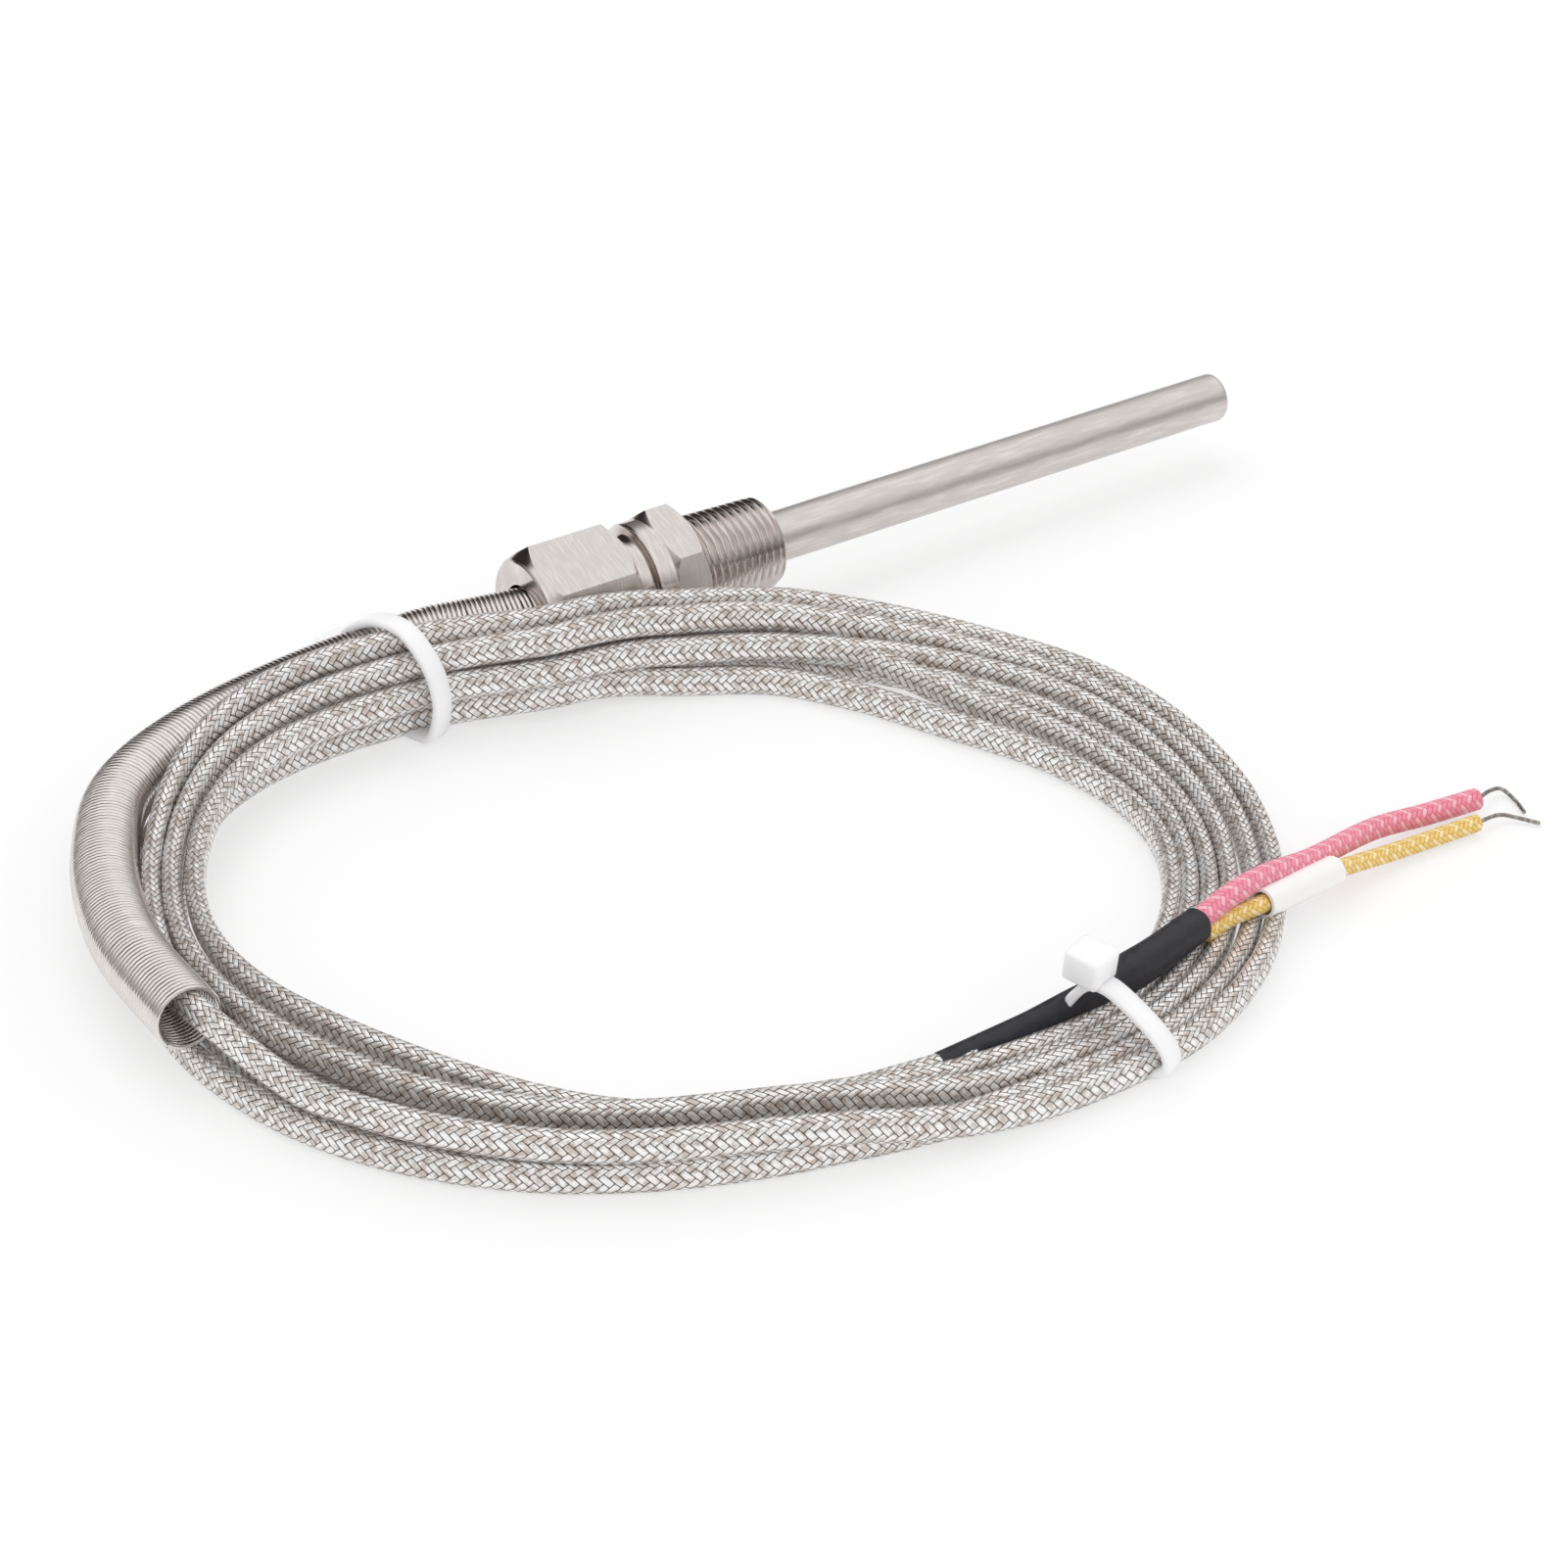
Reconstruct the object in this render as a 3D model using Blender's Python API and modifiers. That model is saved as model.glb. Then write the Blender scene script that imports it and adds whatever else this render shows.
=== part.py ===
"""Thermocouple probe: steel sheath, threaded fitting, spring sleeve and a tied coil of flat cable."""
import math

import bmesh
import bpy
from mathutils import Matrix, Vector

MM = 0.001
FULL_TURN = 2.0 * math.pi
MERGE = 0.00001
GAP = 0.3

# Rigid probe. Stations are millimetres along the axis from the free end of the thread, tip positive.
SHEATH_RADIUS = 3.0
SHEATH_WALL = 0.5
SHEATH_BORE_RADIUS = SHEATH_RADIUS - SHEATH_WALL
SHEATH_TIP = 67.9
TIP_WALL = 0.8
TIP_ROUND = 0.6
THREAD_NOSE_RADIUS = 5.4
THREAD_ROOT_END_RADIUS = 5.75
THREAD_LENGTH = 11.4
THREAD_CHAMFER = 0.9
FLANGE_LENGTH = 6.6
HEX_FLATS = 14.0
HEX_VERTEX_TILT = 10.0
HEX_FRONT_CHAMFER = 0.95
FLANGE_REAR_CHAMFER = 0.75
NUT_REAR_CHAMFER = 1.05
NUT_END_RADIUS = 6.6
NUT_END_LENGTH = 0.7
COLLAR_LENGTH = 2.15
COLLAR_RADIUS = 7.0
COLLAR_EDGE = 0.3
HEX_CORNER_REACH = 1.0 / math.cos(math.pi / 6.0)
HEX_TURNED_MARGIN = 0.1
NECK_RADIUS = 5.6
NECK_LENGTH = 2.2
BODY_BORE_RADIUS = SHEATH_RADIUS + GAP
STUB_WALL = 1.2
STUB_RADIUS = BODY_BORE_RADIUS + STUB_WALL
STUB_CHAMFER = 0.4
NUT_LENGTH = 12.0
NUT_BORE_RADIUS = STUB_RADIUS + GAP
NUT_WEB_RADIUS = 2.3
NUT_WEB_LENGTH = 1.0
SPRING_SEAT_DEPTH = 4.0
FERRULE_LENGTH = 2.4
FERRULE_TAPER = 0.6
SHEATH_END_GAP = 0.4

FLANGE_FRONT = -THREAD_LENGTH
FLANGE_REAR = FLANGE_FRONT - FLANGE_LENGTH
NUT_FRONT = FLANGE_REAR - NECK_LENGTH
NUT_REAR = NUT_FRONT - NUT_LENGTH
NUT_SEAT = NUT_REAR + SPRING_SEAT_DEPTH
NUT_WEB_FRONT = NUT_SEAT + NUT_WEB_LENGTH
FERRULE_REAR = NUT_WEB_FRONT + GAP
FERRULE_FRONT = FERRULE_REAR + FERRULE_LENGTH
STUB_END = FERRULE_FRONT + GAP
SHEATH_REAR = NUT_WEB_FRONT + SHEATH_END_GAP
HEX_RADIUS = HEX_FLATS / 2.0 * HEX_CORNER_REACH
HEX_TURNED_RADIUS = HEX_RADIUS + HEX_TURNED_MARGIN
HEX_FLAT_RADIUS = HEX_FLATS / 2.0
AXIS_HEIGHT = HEX_RADIUS * math.cos(math.radians(HEX_VERTEX_TILT))
RIGID_LENGTH = SHEATH_TIP - NUT_REAR
THREAD_END_X = RIGID_LENGTH / 2.0 - SHEATH_TIP

# Inside the sheath, from the sealed rear end and from the tip.
WIRE_RADIUS = 0.35
WIRE_OFFSET = 1.1
WIRE_BORE_RADIUS = WIRE_RADIUS + GAP
WIRE_SETBACK = 0.2
WIRE_REAR = SHEATH_REAR + WIRE_SETBACK
PLUG_LENGTH = 2.8
PLUG_SETBACK = 0.4
PLUG_REAR = SHEATH_REAR + PLUG_SETBACK
PLUG_FRONT = PLUG_REAR + PLUG_LENGTH
SPLICE_RADIUS = 0.9
SPLICE_LENGTH = 5.8
PLUG_TO_SPLICE = 1.8
SPLICE_REAR = PLUG_FRONT + PLUG_TO_SPLICE
SPLICE_FRONT = SPLICE_REAR + SPLICE_LENGTH
JUNCTION_RADIUS = 0.9
TIP_TO_JUNCTION = 2.0
JUNCTION_STATION = SHEATH_TIP - TIP_TO_JUNCTION
BEAD_RADIUS = SHEATH_BORE_RADIUS - GAP
BEAD_COUNT = 5
BEAD_GAP = 0.4
JUNCTION_TO_BEAD = 3.6
SPLICE_TO_BEAD = 1.2
BEAD_FRONT = JUNCTION_STATION - JUNCTION_TO_BEAD
BEAD_RUN = BEAD_FRONT - SPLICE_FRONT - SPLICE_TO_BEAD
BEAD_LENGTH = (BEAD_RUN + BEAD_GAP) / BEAD_COUNT - BEAD_GAP
BEAD_SPACING = BEAD_LENGTH + BEAD_GAP
BEAD_ROUND = 0.3
WIRE_LEAN_LENGTH = 1.2
WIRE_LEAN_OFFSET = 0.6
CUTTER_OVERRUN = 2.0

# Coil side, in a frame at the middle of the coil that is turned against the probe.
COIL_X = -54.85
COIL_Y = -48.9
COIL_TURN = -33.8
SPRING_RADIUS = 3.55
SPRING_WALL = 0.55
SPRING_BORE_RADIUS = SPRING_RADIUS - SPRING_WALL
SPRING_SEAT_RADIUS = SPRING_RADIUS + GAP
SPRING_ROOT = 0.93
SPRING_RIDGE_PITCH = 1.1
CABLE_RADIUS = 1.75
LONG_BEND_STEP = 3.0
SHORT_BEND_STEP = 0.8
SPRING_ROUTE = [
    (-29.0, 40.8, 7.95),
    (-35.0, 38.3, 7.8),
    (-46.9, 30.7, 7.0),
    (-57.6, 20.8, 6.2),
    (-63.5, 10.2, 5.7),
    (-63.5, -1.5, 5.6),
    (-61.1, -11.9, 5.9),
    (-57.2, -21.2, 6.5),
    (-50.6, -31.7, 7.1),
]
LEAD_TAIL = [
    (-47.6, -36.0, 6.9),
    (-45.2, -39.2, 6.5),
]

# Outer shape of the tied coil every fifteen degrees: inner radius, outer radius, underside, top.
COIL_STEP = 15.0
COIL_OUTLINE = [
    (45.0, 57.6, 0.0, 3.6),
    (43.5, 57.0, 0.0, 5.6),
    (41.0, 54.0, 0.0, 7.4),
    (39.2, 51.0, 0.0, 8.6),
    (38.2, 48.6, 0.0, 9.8),
    (38.4, 46.6, 0.0, 10.6),
    (38.6, 45.6, 0.0, 11.0),
    (37.4, 43.0, 0.9, 12.0),
    (38.0, 41.6, 2.0, 12.6),
    (43.2, 48.2, 1.8, 11.2),
    (48.4, 53.0, 0.8, 8.8),
    (51.2, 58.2, 0.2, 7.4),
    (52.3, 59.2, 0.0, 7.0),
    (51.6, 57.0, 0.0, 6.9),
    (50.2, 55.4, 0.0, 6.9),
    (48.6, 57.4, 0.0, 7.1),
    (46.6, 55.8, 0.0, 7.2),
    (42.9, 52.0, 0.0, 7.2),
    (39.6, 49.4, 0.0, 7.1),
    (38.6, 48.0, 0.0, 6.4),
    (38.6, 48.6, 0.0, 4.0),
    (39.6, 51.0, 1.4, 3.7),
    (41.6, 53.6, 1.4, 3.7),
    (43.8, 56.2, 0.0, 3.6),
]
COIL_SQUARENESS = 4.0
COIL_SECTION_POINTS = 16
COIL_SECTIONS_PER_STEP = 3

SHRINK_RADIUS = 2.2
SHRINK_BORE_RADIUS = 1.75
SHRINK_ROUTE = [
    (20.6, -37.6, 6.2),
    (28.5, -33.0, 6.2),
    (36.0, -27.0, 6.3),
    (41.3, -22.0, 6.3),
    (47.7, -13.3, 6.3),
]
SHRINK_SWELL = [0.9, 0.93, 0.95, 1.0, 1.0]

RED_RADIUS = 1.2
RED_ROUTE = [
    (47.2, -12.2, 7.4),
    (51.5, -7.2, 7.1),
    (56.0, -2.6, 6.3),
    (61.5, 2.9, 4.3),
    (67.8, 8.6, 2.2),
    (74.0, 12.4, 1.6),
    (80.1, 15.8, 1.4),
]
YELLOW_RADIUS = 0.95
YELLOW_ROUTE = [
    (49.1, -13.6, 5.8),
    (51.8, -10.9, 6.0),
    (54.4, -8.5, 5.9),
    (59.2, -4.15, 4.55),
    (64.0, 0.2, 3.2),
    (70.5, 6.0, 1.4),
    (79.5, 11.6, 1.1),
]
MARKER_RADIUS = 1.6
MARKER_BORE_RADIUS = YELLOW_RADIUS + GAP
MARKER_FROM = (54.4, -8.5, 5.9)
MARKER_TO = (64.0, 0.2, 3.2)

BARE_RADIUS = 0.225
BARE_RED_ROUTE = [
    (80.5, 16.1, 1.4),
    (82.0, 18.1, 1.0),
    (83.4, 18.9, 0.7),
    (84.6, 17.0, 0.4),
    (85.2, 14.9, 0.3),
]
BARE_YELLOW_ROUTE = [
    (79.9, 11.85, 1.1),
    (82.2, 13.6, 0.8),
    (84.2, 13.5, 0.5),
    (86.5, 12.7, 0.3),
]

# Cable ties, as rings of (distance from the coil's middle, height) round what they hold.
TIE_WIDTH = 2.4
TIE_THICKNESS = 0.9
TIE_BACK_ANGLE = 135.0
TIE_BACK_RING = [
    (40.4, 2.8),
    (41.6, 1.1),
    (46.5, 1.0),
    (50.5, 2.1),
    (54.0, 3.4),
    (56.4, 5.3),
    (56.9, 7.8),
    (55.8, 10.6),
    (52.8, 12.0),
    (47.5, 12.1),
    (42.4, 12.0),
    (40.7, 10.9),
    (40.2, 6.5),
]
TIE_BACK_HEAD = (59.4, 7.8)
TIE_FRONT_ANGLE = 323.0
TIE_FRONT_RING = [
    (39.9, 2.2),
    (40.8, 1.05),
    (46.5, 0.95),
    (52.6, 1.05),
    (53.7, 2.0),
    (53.6, 3.4),
    (52.0, 4.8),
    (48.6, 7.6),
    (46.6, 9.0),
    (44.2, 9.3),
    (41.9, 8.4),
    (40.3, 5.5),
]
TIE_FRONT_HEAD = (43.9, 11.8)
TIE_HEAD_ACROSS = 5.4
TIE_HEAD_ALONG = 4.6
TIE_HEAD_HEIGHT = 3.6
TIE_HEAD_BEVEL = 0.5


def clear_scene():
    for item in list(bpy.data.objects):
        bpy.data.objects.remove(item, do_unlink=True)


def make_collection(name):
    collection = bpy.data.collections.new(name)
    bpy.context.scene.collection.children.link(collection)
    return collection


def make_material(name, color, roughness, metallic):
    material = bpy.data.materials.new(name)
    material.use_nodes = True
    shader = material.node_tree.nodes["Principled BSDF"]
    shader.inputs["Base Color"].default_value = (*color, 1.0)
    shader.inputs["Roughness"].default_value = roughness
    shader.inputs["Metallic"].default_value = metallic
    material.diffuse_color = (*color, 1.0)
    return material


def add_object(name, data, collection, parent):
    item = bpy.data.objects.new(name, data)
    collection.objects.link(item)
    item.parent = parent
    return item


def add_cutter(name, mesh, parent):
    cutter = add_object(name, mesh, CUTTERS, parent)
    cutter.hide_render = True
    cutter.display_type = "WIRE"
    return cutter


def finish(item, color, roughness, metallic):
    item.data.materials.clear()
    item.data.materials.append(make_material(item.name, color, roughness, metallic))
    return item


def smooth(item, angle=35.0):
    for face in item.data.polygons:
        face.use_smooth = True
    item.data.set_sharp_from_angle(angle=math.radians(angle))


def boolean(item, other, operation):
    modifier = item.modifiers.new(operation.lower(), "BOOLEAN")
    modifier.operation = operation
    modifier.solver = "EXACT"
    modifier.object = other
    return modifier


def evaluated_mesh(item):
    bpy.context.view_layer.update()
    graph = bpy.context.evaluated_depsgraph_get()
    return bpy.data.meshes.new_from_object(item.evaluated_get(graph))


def face_outward(mesh):
    """Weld what coincides and turn every face outward."""
    work = bmesh.new()
    work.from_mesh(mesh)
    bmesh.ops.remove_doubles(work, verts=work.verts, dist=MERGE)
    bmesh.ops.recalc_face_normals(work, faces=work.faces)
    work.to_mesh(mesh)
    work.free()


def turned(name, profile, closed, steps, collection, parent):
    """Revolve (station, radius) points, which run down the outer side, about the probe's axis."""
    mesh = bpy.data.meshes.new(name)
    points = [(radius * MM, 0.0, station * MM) for station, radius in profile]
    edges = [(index, index + 1) for index in range(len(points) - 1)]
    if closed:
        edges.append((len(points) - 1, 0))
    mesh.from_pydata(points, edges, [])
    source = add_object(name, mesh, collection, None)
    screw = source.modifiers.new("turn", "SCREW")
    screw.axis = "Z"
    screw.angle = FULL_TURN
    screw.steps = steps
    screw.render_steps = steps
    screw.use_merge_vertices = True
    screw.merge_threshold = MERGE
    solid = evaluated_mesh(source)
    face_outward(solid)
    bpy.data.objects.remove(source, do_unlink=True)
    bpy.data.meshes.remove(mesh)
    solid.name = name
    item = add_object(name, solid, collection, parent)
    smooth(item)
    return item


def catmull(before, start, end, after, share):
    square = share * share
    cube = square * share
    return 0.5 * (
        2.0 * start
        + (end - before) * share
        + (2.0 * before - 5.0 * start + 4.0 * end - after) * square
        + (3.0 * start - before - 3.0 * end + after) * cube
    )


def smooth_route(points, spacing):
    """Even steps along a smooth curve through the route points, both in millimetres."""
    knots = [Vector(point) for point in points]
    knots = [2.0 * knots[0] - knots[1]] + knots + [2.0 * knots[-1] - knots[-2]]
    fine = []
    for index in range(1, len(knots) - 2):
        for part in range(24):
            fine.append(catmull(*knots[index - 1:index + 3], part / 24.0))
    fine.append(knots[-2])
    lengths = [0.0]
    for first, second in zip(fine, fine[1:]):
        lengths.append(lengths[-1] + (second - first).length)
    count = max(2, round(lengths[-1] / spacing))
    route = []
    segment = 0
    for index in range(count + 1):
        target = lengths[-1] * index / count
        while segment < len(fine) - 2 and lengths[segment + 1] < target:
            segment += 1
        share = (target - lengths[segment]) / (lengths[segment + 1] - lengths[segment])
        route.append(fine[segment].lerp(fine[segment + 1], min(share, 1.0)))
    return route


def tube(name, route, radius, collection, parent, swell=None, resolution=2):
    """A capped round tube along a route; swell scales the radius at each point."""
    curve = bpy.data.curves.new(name, "CURVE")
    curve.dimensions = "3D"
    curve.bevel_depth = radius * MM
    curve.bevel_resolution = resolution
    curve.use_fill_caps = True
    spline = curve.splines.new("POLY")
    spline.points.add(len(route) - 1)
    for index, point in enumerate(route):
        spline.points[index].co = (*(Vector(point) * MM), 1.0)
        spline.points[index].radius = swell[index] if swell else 1.0
    return add_object(name, curve, collection, parent)


def to_mesh(item):
    """Replace a curve object by its mesh with the caps welded on."""
    mesh = evaluated_mesh(item)
    face_outward(mesh)
    name = item.name
    collection = item.users_collection[0]
    parent = item.parent
    bpy.data.objects.remove(item, do_unlink=True)
    mesh.name = name
    solid = add_object(name, mesh, collection, parent)
    solid.name = name
    smooth(solid, 60.0)
    return solid


def lengthened(route, extra):
    """The same route, longer by a straight step at both ends."""
    head = route[0] + (route[0] - route[1]).normalized() * extra
    tail = route[-1] + (route[-1] - route[-2]).normalized() * extra
    return [head] + list(route) + [tail]


def hollow_tube(name, route, radius, bore_route, bore_radius, parent, swell=None):
    outer = to_mesh(tube(name, route, radius, PART, parent, swell))
    longer = lengthened(bore_route, CUTTER_OVERRUN)
    bore = tube(name + "_bore", longer, bore_radius, CUTTERS, parent)
    bore = to_mesh(bore)
    bore.hide_render = True
    bore.display_type = "WIRE"
    boolean(outer, bore, "DIFFERENCE")
    return outer


def hex_prism(name, front, rear):
    """A hexagonal bar with one corner tilted back from straight up."""
    work = bmesh.new()
    bmesh.ops.create_cone(
        work,
        cap_ends=True,
        segments=6,
        radius1=HEX_RADIUS * MM,
        radius2=HEX_RADIUS * MM,
        depth=(front - rear) * MM,
    )
    work.verts.ensure_lookup_table()
    corner = work.verts[0].co
    wanted = math.radians(180.0 - HEX_VERTEX_TILT)
    spin = Matrix.Rotation(wanted - math.atan2(corner.y, corner.x), 4, "Z")
    shift = Matrix.Translation((0.0, 0.0, (front + rear) / 2.0 * MM))
    bmesh.ops.transform(work, matrix=shift @ spin, verts=work.verts)
    mesh = bpy.data.meshes.new(name)
    work.to_mesh(mesh)
    work.free()
    return add_cutter(name, mesh, PROBE)


def make_sheath():
    profile = [
        (SHEATH_TIP, 0.0),
        (SHEATH_TIP, SHEATH_RADIUS - TIP_ROUND),
        (SHEATH_TIP - 0.3 * TIP_ROUND, SHEATH_RADIUS - 0.3 * TIP_ROUND),
        (SHEATH_TIP - TIP_ROUND, SHEATH_RADIUS),
        (SHEATH_REAR, SHEATH_RADIUS),
        (SHEATH_REAR, SHEATH_BORE_RADIUS),
        (SHEATH_TIP - TIP_WALL, SHEATH_BORE_RADIUS),
        (SHEATH_TIP - TIP_WALL, 0.0),
    ]
    sheath = turned("sheath", profile, False, 32, PART, PROBE)
    finish(sheath, (0.66, 0.63, 0.60), 0.34, 1.0)


def make_threaded_body():
    collar_front = FLANGE_REAR + COLLAR_LENGTH
    profile = [
        (0.0, BODY_BORE_RADIUS),
        (0.0, THREAD_NOSE_RADIUS - THREAD_CHAMFER),
        (-THREAD_CHAMFER, THREAD_NOSE_RADIUS),
        (FLANGE_FRONT, THREAD_ROOT_END_RADIUS),
        (FLANGE_FRONT, HEX_FLAT_RADIUS),
        (FLANGE_FRONT - HEX_FRONT_CHAMFER, HEX_TURNED_RADIUS),
        (collar_front + FLANGE_REAR_CHAMFER, HEX_TURNED_RADIUS),
        (collar_front, COLLAR_RADIUS),
        (FLANGE_REAR + COLLAR_EDGE, COLLAR_RADIUS),
        (FLANGE_REAR, COLLAR_RADIUS - COLLAR_EDGE),
        (FLANGE_REAR, NECK_RADIUS),
        (NUT_FRONT + GAP, NECK_RADIUS),
        (NUT_FRONT + GAP, STUB_RADIUS),
        (STUB_END + STUB_CHAMFER, STUB_RADIUS),
        (STUB_END, STUB_RADIUS - STUB_CHAMFER),
        (STUB_END, BODY_BORE_RADIUS),
    ]
    body = turned("threaded_body", profile, True, 36, PART, PROBE)
    bar = hex_prism("flange_hexagon", CUTTER_OVERRUN, STUB_END - CUTTER_OVERRUN)
    boolean(body, bar, "INTERSECT")
    finish(body, (0.60, 0.57, 0.54), 0.26, 1.0)


def make_clamp_nut():
    end_start = NUT_REAR + NUT_END_LENGTH
    profile = [
        (NUT_FRONT, NUT_BORE_RADIUS),
        (NUT_FRONT, HEX_FLAT_RADIUS),
        (NUT_FRONT - HEX_FRONT_CHAMFER, HEX_TURNED_RADIUS),
        (end_start + NUT_REAR_CHAMFER, HEX_TURNED_RADIUS),
        (end_start, HEX_FLAT_RADIUS),
        (NUT_REAR, NUT_END_RADIUS),
        (NUT_REAR, SPRING_SEAT_RADIUS),
        (NUT_SEAT, SPRING_SEAT_RADIUS),
        (NUT_SEAT, NUT_WEB_RADIUS),
        (NUT_WEB_FRONT, NUT_WEB_RADIUS),
        (NUT_WEB_FRONT, NUT_BORE_RADIUS),
    ]
    nut = turned("clamp_nut", profile, True, 36, PART, PROBE)
    bar = hex_prism("nut_hexagon", NUT_FRONT + CUTTER_OVERRUN, NUT_REAR - CUTTER_OVERRUN)
    boolean(nut, bar, "INTERSECT")
    finish(nut, (0.68, 0.65, 0.61), 0.30, 1.0)


def make_ferrule():
    profile = [
        (FERRULE_FRONT, BODY_BORE_RADIUS),
        (FERRULE_FRONT, STUB_RADIUS - FERRULE_TAPER),
        (FERRULE_FRONT - FERRULE_LENGTH / 2.0, STUB_RADIUS),
        (FERRULE_REAR, STUB_RADIUS),
        (FERRULE_REAR, BODY_BORE_RADIUS),
    ]
    ferrule = turned("compression_ferrule", profile, True, 24, PART, PROBE)
    finish(ferrule, (0.62, 0.50, 0.26), 0.30, 1.0)


def wire_cutter(side):
    """A straight bore that runs through every bead and the plug."""
    profile = [
        (SHEATH_TIP + CUTTER_OVERRUN, 0.0),
        (SHEATH_TIP + CUTTER_OVERRUN, WIRE_BORE_RADIUS),
        (SHEATH_REAR - CUTTER_OVERRUN, WIRE_BORE_RADIUS),
        (SHEATH_REAR - CUTTER_OVERRUN, 0.0),
    ]
    cutter = turned("wire_bore_" + str(side), profile, False, 12, CUTTERS, PROBE)
    cutter.location.y = side * WIRE_OFFSET * MM
    cutter.hide_render = True
    cutter.display_type = "WIRE"
    return cutter


def make_insulators():
    cutters = [wire_cutter(side) for side in (1, -1)]
    pieces = []
    for index in range(BEAD_COUNT):
        front = BEAD_FRONT - index * BEAD_SPACING
        rear = front - BEAD_LENGTH
        profile = [
            (front, 0.0),
            (front, BEAD_RADIUS - BEAD_ROUND),
            (front - BEAD_ROUND, BEAD_RADIUS),
            (rear + BEAD_ROUND, BEAD_RADIUS),
            (rear, BEAD_RADIUS - BEAD_ROUND),
            (rear, 0.0),
        ]
        bead = turned("insulator_bead_" + str(index + 1), profile, False, 16, PART, PROBE)
        pieces.append(finish(bead, (0.82, 0.78, 0.70), 0.6, 0.0))
    profile = [
        (PLUG_FRONT, 0.0),
        (PLUG_FRONT, BEAD_RADIUS),
        (PLUG_REAR, BEAD_RADIUS),
        (PLUG_REAR, 0.0),
    ]
    plug = turned("sealing_plug", profile, False, 16, PART, PROBE)
    pieces.append(finish(plug, (0.25, 0.22, 0.20), 0.7, 0.0))
    for piece in pieces:
        for cutter in cutters:
            boolean(piece, cutter, "DIFFERENCE")


def make_junction_and_wires():
    work = bmesh.new()
    bmesh.ops.create_uvsphere(work, u_segments=12, v_segments=8, radius=JUNCTION_RADIUS * MM)
    mesh = bpy.data.meshes.new("hot_junction")
    work.to_mesh(mesh)
    work.free()
    junction = add_object("hot_junction", mesh, PART, PROBE)
    junction.location.z = JUNCTION_STATION * MM
    smooth(junction)
    finish(junction, (0.45, 0.43, 0.42), 0.4, 1.0)
    lean_end = JUNCTION_STATION - JUNCTION_RADIUS - GAP
    for name, side, color in (
        ("thermo_wire_positive", 1, (0.55, 0.52, 0.50)),
        ("thermo_wire_negative", -1, (0.48, 0.47, 0.47)),
    ):
        route = [
            (0.0, side * WIRE_LEAN_OFFSET, lean_end),
            (0.0, side * WIRE_OFFSET, lean_end - WIRE_LEAN_LENGTH),
            (0.0, side * WIRE_OFFSET, WIRE_REAR),
        ]
        wire = tube(name, route, WIRE_RADIUS, PART, PROBE, resolution=1)
        finish(wire, color, 0.35, 1.0)
    for name, side in (("crimp_splice_positive", 1), ("crimp_splice_negative", -1)):
        profile = [
            (SPLICE_FRONT, WIRE_BORE_RADIUS),
            (SPLICE_FRONT, SPLICE_RADIUS),
            (SPLICE_REAR, SPLICE_RADIUS),
            (SPLICE_REAR, WIRE_BORE_RADIUS),
        ]
        splice = turned(name, profile, True, 12, PART, PROBE)
        splice.location.y = side * WIRE_OFFSET * MM
        finish(splice, (0.70, 0.68, 0.62), 0.3, 1.0)


def bench_point(station):
    """A point of the probe's axis in the coil's own frame, in millimetres."""
    across = Vector((THREAD_END_X + station - COIL_X, -COIL_Y, 0.0))
    across.rotate(Matrix.Rotation(math.radians(-COIL_TURN), 3, "Z"))
    return Vector((across.x, across.y, AXIS_HEIGHT))


def make_spring():
    points = [bench_point(NUT_SEAT - GAP), bench_point(NUT_REAR)] + SPRING_ROUTE
    ridged = smooth_route(points, SPRING_RIDGE_PITCH / 2.0)
    swell = [1.0 if index % 2 else SPRING_ROOT for index in range(len(ridged))]
    bore = smooth_route(points, LONG_BEND_STEP)
    spring = hollow_tube(
        "strain_relief_spring",
        ridged,
        SPRING_RADIUS,
        bore,
        SPRING_BORE_RADIUS,
        COIL,
        swell,
    )
    finish(spring, (0.62, 0.60, 0.57), 0.28, 1.0)


def make_cable_lead():
    points = [bench_point(SHEATH_REAR - GAP), bench_point(NUT_REAR)] + SPRING_ROUTE + LEAD_TAIL
    route = smooth_route(points, LONG_BEND_STEP)
    lead = tube("cable_lead", route, CABLE_RADIUS, PART, COIL)
    finish(lead, (0.60, 0.57, 0.54), 0.45, 1.0)


def outline_at(angle):
    """Inner radius, outer radius, underside and top of the coil at an angle in degrees."""
    count = len(COIL_OUTLINE)
    place = angle / COIL_STEP
    index = int(place)
    rows = [COIL_OUTLINE[(index + step) % count] for step in (-1, 0, 1, 2)]
    values = [catmull(*column, place - index) for column in zip(*rows)]
    values[2] = max(values[2], 0.0)
    return values


def coil_section(angle):
    """A rounded box across the coil at an angle in degrees."""
    inner, outer, underside, top = outline_at(angle)
    turn = math.radians(angle)
    points = []
    for index in range(COIL_SECTION_POINTS):
        phase = FULL_TURN * (index + 0.5) / COIL_SECTION_POINTS
        across = math.copysign(abs(math.cos(phase)) ** (2.0 / COIL_SQUARENESS), math.cos(phase))
        up = math.copysign(abs(math.sin(phase)) ** (2.0 / COIL_SQUARENESS), math.sin(phase))
        reach = (inner + outer) / 2.0 + across * (outer - inner) / 2.0
        height = (underside + top) / 2.0 + up * (top - underside) / 2.0
        points.append(Vector((reach * math.cos(turn), reach * math.sin(turn), height)) * MM)
    return points


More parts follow.
